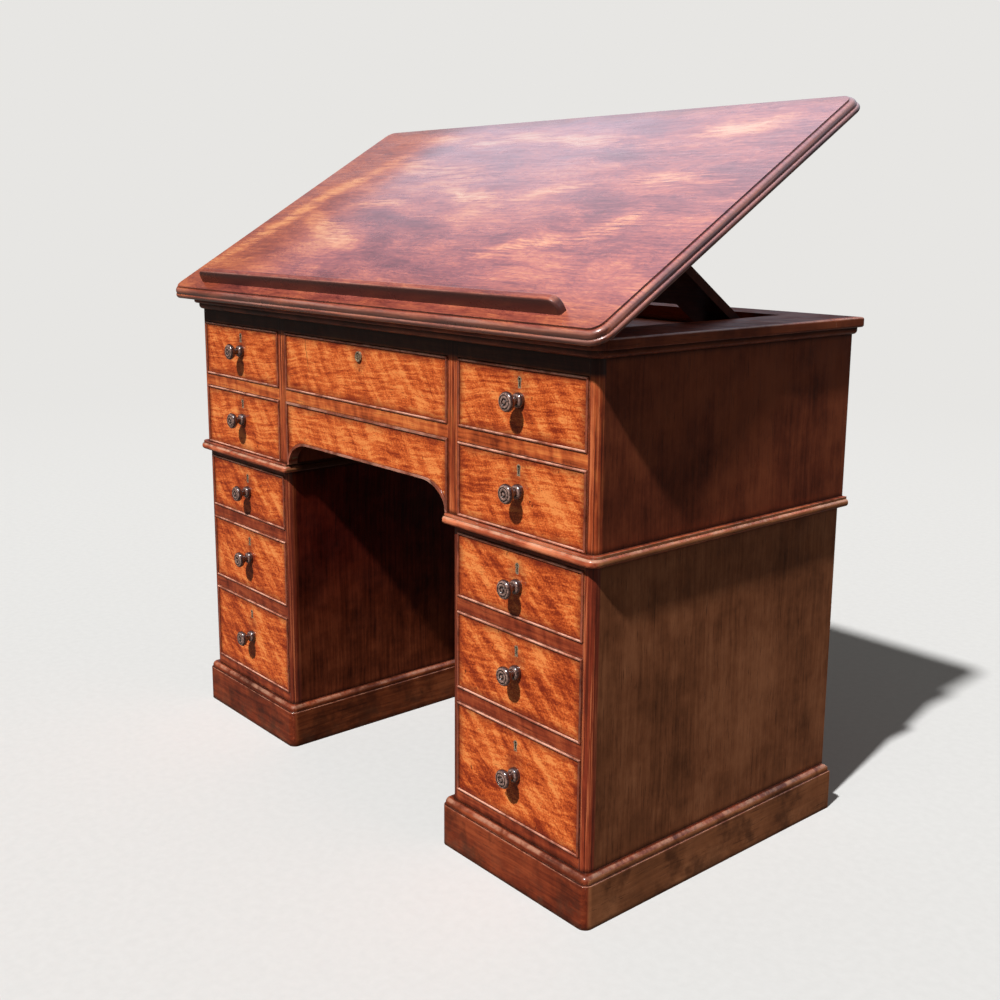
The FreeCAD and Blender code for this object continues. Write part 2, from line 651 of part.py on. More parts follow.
def slope_leaves():
    """Make the hinge leaves that are let into the slope's underside."""
    outer, middle = knuckle_spans()
    leaves = []
    for place in slope_hinge_places:
        leaves.append(hinge_leaf(place, slope_axis_y, slope_axis_z, slope_underside, SLOPE_KNUCKLE_RADIUS,
                                 middle))
    for place in prop_hinge_places:
        leaf = hinge_leaf(0, 0, prop_axis_z, slope_underside, PROP_KNUCKLE_RADIUS, outer)
        leaf = leaf.mirror(V(0, 0, 0), V(0, 1, 0))
        leaves.append(leaf.translated(V(place, prop_axis_y, 0)))
    return leaves


def top_leaves():
    """Make the hinge leaves that are let into the fixed top."""
    outer, _ = knuckle_spans()
    z = top_surface - HINGE_LEAF_THICKNESS
    return [hinge_leaf(place, slope_axis_y, slope_axis_z, z, SLOPE_KNUCKLE_RADIUS, outer)
            for place in slope_hinge_places]


def prop_board():
    """Make the prop, folded flat under the shut slope, with a foot at each end."""
    half = prop_half
    y0 = prop_axis_y + PROP_HEEL_CLEARANCE
    foot_y = prop_axis_y + prop_length
    z0 = prop_top - PROP_THICKNESS
    board = box(-half, half, y0, foot_y, z0, prop_top)
    board = board.fuse(rod(-half, half, foot_y, prop_foot_z, prop_foot_radius)).removeSplitter()
    foot_inner = half - PROP_FOOT_WIDTH
    far = foot_y + PROP_THICKNESS
    board = board.cut(box(-foot_inner, foot_inner, foot_y - PROP_FOOT_LENGTH, far, z0, prop_top))
    for place in prop_hinge_places:
        board = board.cut(leaf_plate(place, prop_axis_y, prop_top - HINGE_LEAF_THICKNESS))
    return [board]


def prop_leaves():
    """Make the hinge leaves that are let into the prop, and their pins."""
    _, middle = knuckle_spans()
    z = prop_top - HINGE_LEAF_THICKNESS
    solids = []
    for place in prop_hinge_places:
        solids.append(hinge_leaf(place, prop_axis_y, prop_axis_z, z, PROP_KNUCKLE_RADIUS, middle))
        solids.append(hinge_pin(place, prop_axis_y, prop_axis_z))
    return solids


def keyhole(x, y0, y1, z, margin):
    """Make the space of a keyhole through a thickness, widened by a margin."""
    radius = KEYHOLE_RADIUS + margin
    half = KEYHOLE_SLOT_WIDTH / 2 + margin
    foot = z - KEYHOLE_LENGTH - margin
    eye = Part.makeCylinder(radius, y1 - y0, V(x, y0, z), V(0, 1, 0))
    slot = box(x - half, x + half, y0, y1, foot, z)
    return eye.fuse(slot).removeSplitter()


def bowed(start, end, rise):
    """Make an arc that bows to the left of the way from one point to another, in a level plane."""
    chord = end - start
    across = V(-chord.y, chord.x, 0).normalize()
    return Part.Arc(start, (start + end) * 0.5 + across * rise, end)


def lines(points):
    """Join points with straight lines."""
    return [Part.LineSegment(first, second) for first, second in zip(points, points[1:])]


def knob(x, face_y, z):
    """Make a turned knob, with its spigot running back into the drawer front."""
    rim_radius = KNOB_HEAD_RADIUS - KNOB_RIM_BELLY
    throat_out = KNOB_BASE_DEPTH + KNOB_NECK_LENGTH
    face = KNOB_PROJECTION - KNOB_BUTTON_RISE
    rim_front_out = face - KNOB_SHOULDER_DROP
    sunk = face - KNOB_GROOVE_DEPTH
    ring_inner = KNOB_RING_RADIUS - KNOB_RING_WIDTH
    groove_outer = KNOB_RING_RADIUS + KNOB_GROOVE_WIDTH
    dome = (KNOB_BUTTON_RADIUS ** 2 + KNOB_BUTTON_RISE ** 2) / (2 * KNOB_BUTTON_RISE)
    half_turn = math.asin(KNOB_BUTTON_RADIUS / dome) / 2

    def at(radius, out):
        return V(x + radius, face_y - out, z)

    lip = at(KNOB_BASE_RADIUS, KNOB_BASE_LIP)
    neck = at(KNOB_NECK_RADIUS, KNOB_BASE_DEPTH)
    throat = at(KNOB_NECK_RADIUS, throat_out)
    rim_back = at(rim_radius, rim_front_out - KNOB_RIM_THICKNESS)
    rim_front = at(rim_radius, rim_front_out)
    shoulder = at(groove_outer, face)
    ring_start = at(KNOB_RING_RADIUS, face)
    ring_end = at(ring_inner, face)
    button = at(KNOB_BUTTON_RADIUS, face)
    button_middle = at(dome * math.sin(half_turn), KNOB_PROJECTION - dome * (1 - math.cos(half_turn)))
    tip = at(0, KNOB_PROJECTION)
    tail = at(0, -KNOB_SPIGOT_LENGTH)
    spigot = at(KNOB_SPIGOT_RADIUS, -KNOB_SPIGOT_LENGTH)
    edges = lines([tail, spigot, at(KNOB_SPIGOT_RADIUS, 0), at(KNOB_BASE_RADIUS, 0), lip])
    edges.append(bowed(lip, neck, KNOB_BASE_BELLY))
    edges += lines([neck, throat])
    edges.append(bowed(throat, rim_back, KNOB_UNDERSIDE_BELLY))
    edges.append(bowed(rim_back, rim_front, KNOB_RIM_BELLY))
    edges.append(bowed(rim_front, shoulder, KNOB_SHOULDER_BELLY))
    edges += lines([shoulder, at(groove_outer, sunk), at(KNOB_RING_RADIUS, sunk), ring_start])
    edges.append(bowed(ring_start, ring_end, KNOB_RING_BELLY))
    edges += lines([ring_end, at(ring_inner, sunk), at(KNOB_BUTTON_RADIUS, sunk), button])
    edges.append(Part.Arc(button, button_middle, tip))
    edges += lines([tip, tail])
    profile = Part.Face(Part.Wire([edge.toShape() for edge in edges]))
    return profile.revolve(V(x, 0, z), V(0, 1, 0), 360)


def lock_boss(x, face_y, z):
    """Make the round brass boss of the centre drawer's lock, with its rim and keyhole."""
    stem = Part.makeCylinder(BOSS_RADIUS - BOSS_RIM, LINING_DEPTH, V(x, face_y, z), V(0, 1, 0))
    head = Part.makeCylinder(BOSS_RADIUS, BOSS_PROUD, V(x, face_y - BOSS_PROUD, z), V(0, 1, 0))
    rim_edges = [edge for edge in head.Edges if abs(edge.BoundBox.YMax - (face_y - BOSS_PROUD)) < 1e-4]
    head = head.makeFillet(BOSS_RIM / 2, rim_edges)
    dish = Part.makeCylinder(BOSS_RADIUS - BOSS_RIM, BOSS_PROUD / 3, V(x, face_y - BOSS_PROUD, z), V(0, 1, 0))
    boss = head.cut(dish).fuse(stem).removeSplitter()
    return boss.cut(keyhole(x, face_y - BOSS_PROUD, face_y + LINING_DEPTH, z + KEYHOLE_LENGTH / 2, 0))


def bead_frame(x0, x1, y0, y1, z0, z1):
    """Make the four cock beads round a drawer front, each with its front edges rounded."""
    strips = [
        box(x0, x1, y0, y1, z1 - BEAD_WIDTH, z1),
        box(x0, x1, y0, y1, z0, z0 + BEAD_WIDTH),
        box(x0, x0 + BEAD_WIDTH, y0, y1, z0 + BEAD_WIDTH, z1 - BEAD_WIDTH),
        box(x1 - BEAD_WIDTH, x1, y0, y1, z0 + BEAD_WIDTH, z1 - BEAD_WIDTH),
    ]
    beads = []
    for strip in strips:
        bounds = strip.BoundBox
        upright = bounds.ZLength > bounds.XLength
        long_edges = []
        for edge in strip.Edges:
            span = edge.BoundBox
            length = span.ZLength if upright else span.XLength
            if abs(span.YMax - y0) < 1e-4 and length > 2 * BEAD_WIDTH:
                long_edges.append(edge)
        beads.append(strip.makeFillet(BEAD_ROUND_RADIUS, long_edges))
    return beads


def drawer(x0, x1, face_y, inner_back, row, key_drop, knob_rise):
    """Make one drawer's front, box, knob and lock for an opening.

    The keyhole's eye is a drop below the drawer's top, and the knob a rise above its middle. A drawer
    whose rise is None has no knob. Its lock pulls it, with a round boss in place of a keyhole lining.
    """
    left = x0 + DRAWER_SIDE_GAP
    right = x1 - DRAWER_SIDE_GAP
    bottom = row[0] + RUNNER_GAP
    top = row[1] - DRAWER_TOP_GAP
    middle_x = (left + right) / 2
    back = face_y + FRONT_THICKNESS
    end = inner_back - DRAWER_END_CLEARANCE
    key_z = top - key_drop

    board = box(left + BEAD_WIDTH, right - BEAD_WIDTH, face_y, back, bottom + BEAD_WIDTH, top - BEAD_WIDTH)
    half_lock = LOCK_WIDTH / 2
    lock_top = top - BEAD_WIDTH - LOCK_FIT
    lock_front = back - LOCK_THICKNESS
    lock_bottom = lock_top - LOCK_HEIGHT
    lock_case = box(middle_x - half_lock, middle_x + half_lock, lock_front, back, lock_bottom, lock_top)
    half_room = half_lock + LOCK_FIT
    board = board.cut(box(middle_x - half_room, middle_x + half_room, lock_front - LOCK_FIT, back,
                          lock_bottom - LOCK_FIT, top - BEAD_WIDTH))
    lock_case = lock_case.cut(keyhole(middle_x, lock_front, back, key_z, 0))
    board = board.cut(keyhole(middle_x, face_y, back, key_z, 0))
    nodes = {}
    if knob_rise is not None:
        knob_z = (bottom + top) / 2 + knob_rise
        lining = keyhole(middle_x, face_y, face_y + LINING_DEPTH, key_z, LINING_WALL)
        board = board.cut(lining)
        trim = lining.cut(keyhole(middle_x, face_y, face_y + LINING_DEPTH, key_z, 0))
        board = board.cut(Part.makeCylinder(KNOB_SPIGOT_RADIUS + SPIGOT_CLEARANCE, FRONT_THICKNESS,
                                            V(middle_x, face_y, knob_z), V(0, 1, 0)))
        nodes["knob"] = [knob(middle_x, face_y, knob_z)]
    else:
        boss_z = key_z - KEYHOLE_LENGTH / 2
        trim = lock_boss(middle_x, face_y, boss_z)
        board = board.cut(Part.makeCylinder(BOSS_RADIUS - BOSS_RIM, LINING_DEPTH, V(middle_x, face_y, boss_z),
                                            V(0, 1, 0)))
    nodes["front"] = [board] + bead_frame(left, right, face_y - BEAD_PROUD, back, bottom, top)
    nodes["lock"] = [trim, lock_case]

    thick = DRAWER_BOARD_THICKNESS
    side_top = top - DRAWER_SIDE_DROP
    floor_z = bottom + DRAWER_BOTTOM_RAISE
    floor_top = floor_z + DRAWER_BOTTOM_THICKNESS
    nodes["box"] = [
        box(left, left + thick, back, end, bottom, side_top),
        box(right - thick, right, back, end, bottom, side_top),
        box(left + thick, right - thick, end - thick, end, floor_top, top - DRAWER_BACK_DROP),
        box(left + thick, right - thick, back, end, floor_z, floor_top),
    ]
    return nodes


def all_drawers():
    """Make every drawer, with the name that each node takes."""
    nodes = {}

    def add(name, parts):
        for part, solids in parts.items():
            nodes[name + "_" + part] = solids

    count = len(upper_rows)
    for index, row in enumerate(upper_rows):
        number = count - index
        for side, x0, x1 in (("right", bay_inner, bay_outer), ("left", -bay_outer, -bay_inner)):
            parts = drawer(x0, x1, 0, case_inner_back, row, UPPER_KEYHOLE_DROP, UPPER_KNOB_RISE)
            add(f"upper_{side}_drawer_{number}", parts)
    boss_key_drop = BOSS_DROP - KEYHOLE_LENGTH / 2
    centre = drawer(-knee_half, knee_half, 0, case_inner_back, upper_rows[-1], boss_key_drop, None)
    add("centre_drawer", centre)
    count = len(pedestal_rows)
    for index, row in enumerate(pedestal_rows):
        number = count - index
        rise = PEDESTAL_KNOB_RISES[index]
        for side, x0, x1 in (("right", pedestal_bay_inner, pedestal_bay_outer),
                             ("left", -pedestal_bay_outer, -pedestal_bay_inner)):
            parts = drawer(x0, x1, pedestal_front, pedestal_inner_back, row, PEDESTAL_KEYHOLE_DROP, rise)
            add(f"{side}_pedestal_drawer_{number}", parts)
    return nodes


def fixed_nodes():
    """Make the pieces that stand still."""
    carcass = pedestal_carcass()
    plinth = pedestal_plinth()
    side_bay = upper_case_side_bay()
    waist = waist_moulding()
    return {
        "right_pedestal_carcass": carcass,
        "left_pedestal_carcass": mirrored(carcass),
        "right_pedestal_plinth": plinth,
        "left_pedestal_plinth": mirrored(plinth),
        "upper_case_carcass": side_bay + mirrored(side_bay) + upper_case_centre(),
        "kneehole_apron": kneehole_apron(),
        "waist_moulding": waist + mirrored(waist),
        "cornice_moulding": cornice_moulding(),
        "fixed_top": fixed_top(),
        "prop_racks": prop_racks(),
        "top_hinge_leaves": top_leaves(),
        "top_hinge_pins": [hinge_pin(place, slope_axis_y, slope_axis_z) for place in slope_hinge_places],
    }


def raised_nodes():
    """Make the slope and prop, and turn them from shut to their rest pose."""
    slope = {"slope_board": slope_board(), "book_ledge": book_ledge(), "slope_hinge_leaves": slope_leaves()}
    prop = {"prop_board": prop_board(), "prop_hinge_leaves": prop_leaves()}
    along = V(1, 0, 0)
    for solids in prop.values():
        for solid in solids:
            solid.rotate(V(0, prop_axis_y, prop_axis_z), along, -prop_turn())
    nodes = {**slope, **prop}
    for solids in nodes.values():
        for solid in solids:
            solid.rotate(V(0, slope_axis_y, slope_axis_z), along, SLOPE_ANGLE)
    return nodes


def report_places(shift):
    """Print the hinge axes, the prop's ratio and the main spaces, in the part's own frame."""
    tilt = math.radians(SLOPE_ANGLE)
    along = prop_axis_y - slope_axis_y
    above = prop_axis_z - slope_axis_z
    prop_y = slope_axis_y + along * math.cos(tilt) - above * math.sin(tilt)
    prop_z = slope_axis_z + along * math.sin(tilt) + above * math.cos(tilt)
    print("slope_axis", round(slope_axis_y + shift, 4), round(slope_axis_z, 4))
    print("prop_axis", round(prop_y + shift, 4), round(prop_z, 4))
    print("prop_ratio", round(-prop_turn() / SLOPE_ANGLE, 6))
    print("case_front", round(shift, 4))


def main():
    """Build every node, centre the desk on its origin and write the files."""
    nodes = {**fixed_nodes(), **raised_nodes(), **all_drawers()}
    compounds = {name: Part.makeCompound(solids) for name, solids in nodes.items()}
    boxes = [compound.optimalBoundingBox(False) for compound in compounds.values()]
    shift = -(min(bounds.YMin for bounds in boxes) + max(bounds.YMax for bounds in boxes)) / 2
    os.makedirs("parts", exist_ok=True)
    for name, compound in compounds.items():
        compound.translate(V(0, shift, 0))
        compound.exportStep(os.path.join("parts", name + ".step"))
    report_places(shift)


main()
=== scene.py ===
"""Dress the twin-pedestal architect's desk: timber, polish, brass, small fittings, light and camera."""
import json
import logging
import math
from dataclasses import dataclass
from enum import Enum
from functools import reduce
from typing import Any, Callable, Sequence

import bpy
from mathutils import Matrix, Vector


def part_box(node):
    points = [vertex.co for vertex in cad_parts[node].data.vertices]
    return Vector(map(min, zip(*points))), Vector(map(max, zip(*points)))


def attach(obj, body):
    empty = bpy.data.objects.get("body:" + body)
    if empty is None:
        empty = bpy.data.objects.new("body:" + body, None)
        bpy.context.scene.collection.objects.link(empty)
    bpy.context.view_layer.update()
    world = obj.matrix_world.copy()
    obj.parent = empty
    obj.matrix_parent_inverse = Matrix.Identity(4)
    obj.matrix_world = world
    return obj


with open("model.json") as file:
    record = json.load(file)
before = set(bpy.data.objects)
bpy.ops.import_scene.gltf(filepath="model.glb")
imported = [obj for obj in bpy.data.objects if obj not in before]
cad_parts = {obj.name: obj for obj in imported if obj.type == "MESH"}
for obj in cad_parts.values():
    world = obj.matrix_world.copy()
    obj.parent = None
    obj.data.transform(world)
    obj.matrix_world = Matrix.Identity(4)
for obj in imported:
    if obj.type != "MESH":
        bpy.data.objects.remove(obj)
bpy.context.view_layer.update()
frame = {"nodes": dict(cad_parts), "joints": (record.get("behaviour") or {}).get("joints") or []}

log = logging.getLogger("desk")

Socket = bpy.types.NodeSocket
Material = bpy.types.Material
Triple = tuple[float, float, float]
Colour = Triple
Stops = Sequence[tuple[float, Colour]]
NOUGHT: Triple = (0.0, 0.0, 0.0)

# Sizes that the frame doesn't give, in metres.
DRAWER_GAP = 0.001
PAST_END = 0.7
HINGE_LENGTH = 0.064
HINGE_GAP = 0.0004
PROP_LEAF_RISE = 0.0015


def joint_named(name: str) -> dict[str, Any]:
    """Give one of the frame's joints."""
    return next(joint for joint in frame["joints"] if joint["name"] == name)


def posts_beside(front: str, inner: float) -> tuple[tuple[float, float], ...]:
    """Give where the posts on either side of a drawer front are.

    Args:
        front: the front's name, at the desk's right end.
        inner: where the inner post starts.

    Returns:
        The spans of the inner and the outer post, from the desk's middle along X.
    """
    low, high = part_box(front)
    return (inner, low.x - DRAWER_GAP), (high.x + DRAWER_GAP, PAST_END)


def hinge_row(leaves: str, count: int) -> tuple[float, ...]:
    """Give the middles of evenly spaced hinges.

    Args:
        leaves: the name of the node that holds their leaves.
        count: how many hinges there are.

    Returns:
        Their places along X.
    """
    low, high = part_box(leaves)
    step = (high.x - low.x - HINGE_LENGTH) / (count - 1)
    return tuple(low.x + HINGE_LENGTH / 2 + step * hinge for hinge in range(count))


# Places on the desk, in metres, with posts and reaches measured from its middle along X.
CASE_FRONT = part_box("upper_case_carcass")[0].y
PEDESTAL_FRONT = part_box("right_pedestal_carcass")[0].y
FRONT_BAND = 0.05
POST_DEPTH = 0.018
CASE_POSTS = posts_beside("upper_right_drawer_1_front", 0.261)
PEDESTAL_POSTS = posts_beside("right_pedestal_drawer_1_front", 0.25)
KNEEHOLE_REACH = 0.275
INNER_POST_REACH = 0.30
UPPER_VENEER_TOP = 0.868

# The slope's lift at rest, how many times as far its prop folds, and where the hinges of both are.
SLOPE_ANGLE = math.radians(-joint_named("slope_hinge")["range_deg"][0])
PROP_RATIO = 2.115061
SLOPE_HINGES = hinge_row("top_hinge_leaves", 4)
PROP_HINGES = hinge_row("prop_hinge_leaves", 3)


class Side(Enum):
    """The desk's two ends, as its user faces it."""

    LEFT = "left"
    RIGHT = "right"


class NodeSheet:
    """The node tree of one material, or of the world, with short calls that add nodes and join them."""

    def __init__(self, name: str, world: bool = False) -> None:
        """Start an empty tree.

        Args:
            name: the material's or the world's name.
            world: whether it is the world's.
        """
        self.owner = (bpy.data.worlds if world else bpy.data.materials).new(name)
        self.owner.use_nodes = True
        self.tree = self.owner.node_tree
        self.tree.nodes.clear()
        self.place = self.node("ShaderNodeTexCoord")

    def node(self, kind: str, *values: Any, **settings: Any) -> bpy.types.Node:
        """Add a node.

        Args:
            kind: the node's type name.
            values: what its first inputs take, in order.
            settings: the node's own properties.

        Returns:
            The new node.
        """
        made = self.tree.nodes.new(kind)
        for key, value in settings.items():
            setattr(made, key, value)
        for socket, value in zip(made.inputs, values):
            self.feed(socket, value)
        return made

    def feed(self, socket: Socket, value: Any) -> None:
        """Link a socket to an input, or set the input's own value.

        Args:
            socket: the input to fill.
            value: an output socket, a number, or a row of numbers.
        """
        if isinstance(value, Socket):
            self.tree.links.new(value, socket)
        elif isinstance(value, tuple) and socket.type == "RGBA":
            socket.default_value = (*value, 1.0)
        else:
            socket.default_value = value

    @property
    def here(self) -> Socket:
        """The place on the object, in metres."""
        return self.place.outputs["Object"]

    @property
    def facing(self) -> Socket:
        """The way the surface faces, in the object's own frame."""
        return self.place.outputs["Normal"]

    @property
    def across(self) -> Socket:
        """How far to the right of the desk's middle the place is."""
        return self.split(self.here)[0]

    @property
    def from_middle(self) -> Socket:
        """How far from the desk's middle the place is, to either side."""
        return self.size(self.across)

    @property
    def back(self) -> Socket:
        """How far back the place is."""
        return self.split(self.here)[1]

    @property
    def up(self) -> Socket:
        """How high the place is."""
        return self.split(self.here)[2]

    @property
    def sideways(self) -> Socket:
        """How far the surface faces to either side."""
        return self.size(self.split(self.facing)[0])

    @property
    def backwards(self) -> Socket:
        """How far the surface faces back."""
        return self.split(self.facing)[1]

    @property
    def upwards(self) -> Socket:
        """How far the surface faces up."""
        return self.split(self.facing)[2]

    def split(self, vector: Any) -> tuple[Socket, ...]:
        """Give the X, Y and Z of a vector."""
        return tuple(self.node("ShaderNodeSeparateXYZ", vector).outputs)

    def math(self, operation: str, *values: Any, clamp: bool = False) -> Socket:
        """Add a sum on numbers, held between 0 and 1 where clamp is set."""
        return self.node("ShaderNodeMath", *values, operation=operation, use_clamp=clamp).outputs[0]

    def times(self, *parts: Any) -> Socket:
        """Multiply two or more numbers."""
        return reduce(lambda first, second: self.math("MULTIPLY", first, second), parts)

    def plus(self, part: Any, share: Any, base: Any) -> Socket:
        """Add a share of a part to a base."""
        return self.math("MULTIPLY_ADD", part, share, base)

    def heaped(self, parts: Sequence[tuple[Any, float]], base: Any) -> Socket:
        """Add a share of each part to a base."""
        return reduce(lambda total, part: self.plus(*part, total), parts, base)

    def less(self, first: Any, second: Any) -> Socket:
        """Take the second number from the first."""
        return self.math("SUBTRACT", first, second)

    def size(self, value: Any) -> Socket:
        """Give a number without its sign."""
        return self.math("ABSOLUTE", value)

    def most(self, first: Any, second: Any) -> Socket:
        """Give the larger of two numbers."""
        return self.math("MAXIMUM", first, second)

    def below(self, first: Any, second: Any) -> Socket:
        """Give 1 where the first number is below the second."""
        return self.math("LESS_THAN", first, second)

    def above(self, first: Any, second: Any) -> Socket:
        """Give 1 where the first number is above the second."""
        return self.math("GREATER_THAN", first, second)

    def within(self, value: Any, low: float, high: float) -> Socket:
        """Give 1 where a number lies within a span."""
        return self.math("COMPARE", value, (low + high) / 2, (high - low) / 2)

    def shade(self, factor: Any, first: Any, second: Any) -> Socket:
        """Mix two shaders."""
        return self.node("ShaderNodeMixShader", factor, first, second).outputs[0]

    def vector(self, operation: str, first: Any, second: Any = NOUGHT, scale: float = 1.0) -> Any:
        """Add a sum on vectors.

        Args:
            operation: the sum's name.
            first: its first vector.
            second: its second vector.
            scale: the factor of a SCALE sum.

        Returns:
            The result's socket, which is one number for a length or a dot product.
        """
        made = self.node("ShaderNodeVectorMath", first, second, operation=operation)
        if operation == "SCALE":
            made.inputs["Scale"].default_value = scale
        return made.outputs["Value" if operation in ("LENGTH", "DOT_PRODUCT") else "Vector"]

    def mapped(self, vector: Any, scale: Triple, turn: Triple = NOUGHT, shift: Triple = NOUGHT) -> Any:
        """Turn a place and then stretch it.

        Args:
            vector: the place.
            scale: the factor along each axis, after the turn.
            turn: the turn about each axis, in degrees.
            shift: how far the pattern is moved, after both.

        Returns:
            The new place's socket.
        """
        angles = tuple(math.radians(part) for part in turn)
        turned = self.node("ShaderNodeMapping", vector, NOUGHT, angles)
        return self.node("ShaderNodeMapping", turned.outputs[0], shift, NOUGHT, scale).outputs[0]

    def noise(
        self, vector: Any, scale: float, detail: float = 3.0, rough: float = 0.55, bend: float = 0.0,
    ) -> bpy.types.Node:
        """Add a cloud of noise.

        Args:
            vector: the place that it is read at.
            scale: its lumps per metre.
            detail: its octaves.
            rough: how strong the finer octaves are.
            bend: how far it is bent by itself.

        Returns:
            The noise node.
        """
        made = self.node("ShaderNodeTexNoise", vector)
        settings = {"Scale": scale, "Detail": detail, "Roughness": rough, "Distortion": bend}
        for key, value in settings.items():
            made.inputs[key].default_value = value
        return made

    def lumps(self, vector: Any, *settings: float) -> Socket:
        """Give a cloud of noise as one number, with the same settings as noise."""
        return self.noise(vector, *settings).outputs["Fac"]

    def streaks(
        self, vector: Any, scale: Triple, detail: float = 3.0, rough: float = 0.55, turn: Triple = NOUGHT,
        bend: float = 0.0,
    ) -> Socket:
        """Give noise, as one number, with its own count of lumps per metre along each axis."""
        return self.lumps(self.mapped(vector, scale, turn), 1.0, detail, rough, bend)

    def warped(self, vector: Any, scale: float, reach: float) -> Any:
        """Push a place about by noise.

        Args:
            vector: the place.
            scale: the noise's lumps per metre.
            reach: the furthest push, in metres.

        Returns:
            The new place's socket.
        """
        push = self.vector("SUBTRACT", self.noise(vector, scale, 2.0).outputs["Color"], (0.5, 0.5, 0.5))
        return self.vector("ADD", vector, self.vector("SCALE", push, scale=2.0 * reach))

    def ramp(self, factor: Any, stops: Stops) -> Socket:
        """Turn a number into a colour.

        Args:
            factor: the number.
            stops: the colours and where they lie.

        Returns:
            The colour's socket.
        """
        made = self.node("ShaderNodeValToRGB", factor)
        elements = made.color_ramp.elements
        while len(elements) < len(stops):
            elements.new(1.0)
        for element, (place, colour) in zip(elements, stops):
            element.position = place
            element.color = (*colour, 1.0)
        return made.outputs["Color"]

    def span(
        self, value: Any, low: float, high: float, start: float = 0.0, end: float = 1.0,
        smooth: bool = True,
    ) -> Socket:
        """Map a number from one span to another.

        Args:
            value: the number.
            low: where the first span starts.
            high: where it ends.
            start: what the low end becomes.
            end: what the high end becomes.
            smooth: whether the way between is eased.

        Returns:
            The new number's socket.
        """
        way = "SMOOTHSTEP" if smooth else "LINEAR"
        made = self.node("ShaderNodeMapRange", value, low, high, start, end, interpolation_type=way)
        return made.outputs[0]

    def blend(self, factor: Any, first: Any, second: Any) -> Socket:
        """Mix two colours.

        Args:
            factor: how much of the second there is.
            first: the first colour.
            second: the second colour.

        Returns:
            The mixed colour's socket.
        """
        made = self.node("ShaderNodeMix", factor, data_type="RGBA")
        self.feed(made.inputs[6], first)
        self.feed(made.inputs[7], second)
        return made.outputs[2]

    def choose(self, factor: Any, first: Any, second: Any) -> Socket:
        """Mix two vectors.

        Args:
            factor: how much of the second there is.
            first: the first vector.
            second: the second vector.

        Returns:
            The mixed vector's socket.
        """
        made = self.node("ShaderNodeMix", factor, data_type="VECTOR")
        self.feed(made.inputs[4], first)
        self.feed(made.inputs[5], second)
        return made.outputs[1]

    def crease(self, reach: float, alone: bool = True) -> Socket:
        """Give how open the surface is: 0 deep in a crease and 1 in the open.

        Args:
            reach: how far from the crease it is felt, in metres.
            alone: whether the piece's neighbours are left out.

        Returns:
            The openness's socket.
        """
        made = self.node("ShaderNodeAmbientOcclusion", samples=6, only_local=alone)
        made.inputs["Distance"].default_value = reach
        return made.outputs["AO"]

    def edge(self, reach: float) -> Socket:
        """Give where the surface turns: 1 on an edge and 0 on the flat.

        Args:
            reach: how far from the edge it is felt, in metres.

        Returns:
            The edge's socket.
        """
        eased = self.node("ShaderNodeBevel", reach, samples=4)
        flat = self.node("ShaderNodeNewGeometry")
        return self.span(self.vector("DOT_PRODUCT", eased.outputs[0], flat.outputs["Normal"]), 0.985, 0.85)

    def finish(
        self, colour: Any, rough: Any, height: Any, depth: float, sockets: dict[str, Any],
    ) -> Material:
        """Close the material with its surface shader.

        Args:
            colour: the surface's colour.
            rough: its roughness.
            height: its relief.
            depth: the height that a relief of 1 stands for, in metres.
            sockets: the shader's other values, by name.

        Returns:
            The finished material.
        """
        bump = self.node("ShaderNodeBump")
        for key, value in {"Strength": 1.0, "Distance": depth, "Height": height}.items():
            self.feed(bump.inputs[key], value)
        shader = self.node("ShaderNodeBsdfPrincipled")
        values = {"Base Color": colour, "Roughness": rough, "Normal": bump.outputs[0], **sockets}
        for key, value in values.items():
            self.feed(shader.inputs[key], value)
        self.node("ShaderNodeOutputMaterial", shader.outputs[0])
        return self.owner


# Sizes on a drawer front, in metres, with the crack's slant as a share of its fall.
HAND_HALF_WIDTH = 0.026
HAND_HALF_HEIGHT = 0.042
HAND_RISE = 0.010
TAIL_LAP = 0.005
FRONT_THICKNESS = 0.020
TAIL_PITCH = 0.034
BEAD_AHEAD = 0.0005
BEAD_BEHIND = 0.0006
CRACK_SLANT = 0.20
CRACK_WANDER = 0.022

# Colours of the veneer, its stains, its dirt and painted shade in creases, and its beads with their painted
# highlight.
VENEER_STOPS = (
    (0.42, (0.240, 0.024, 0.006)),
    (0.465, (0.410, 0.055, 0.011)),
    (0.50, (0.620, 0.104, 0.020)),
    (0.535, (0.810, 0.166, 0.034)),
    (0.585, (1.000, 0.325, 0.086)),
)
VENEER_PORE = (0.13, 0.015, 0.004)
VENEER_SPOT = (0.050, 0.009, 0.004)
VENEER_DIRT_AND_SHADE = (0.055, 0.008, 0.004)
HAND_STAIN = (0.150, 0.015, 0.008)
MARGIN_STAIN = (0.150, 0.016, 0.007)
CRACK_DARK = (0.020, 0.004, 0.002)
BEAD_STOPS = ((0.35, (0.110, 0.018, 0.008)), (0.65, (0.400, 0.084, 0.036)))
BEAD_HIGHLIGHT = (0.860, 0.440, 0.310)
TAIL_STOPS = ((0.3, (0.24, 0.125, 0.055)), (0.7, (0.42, 0.25, 0.12)))


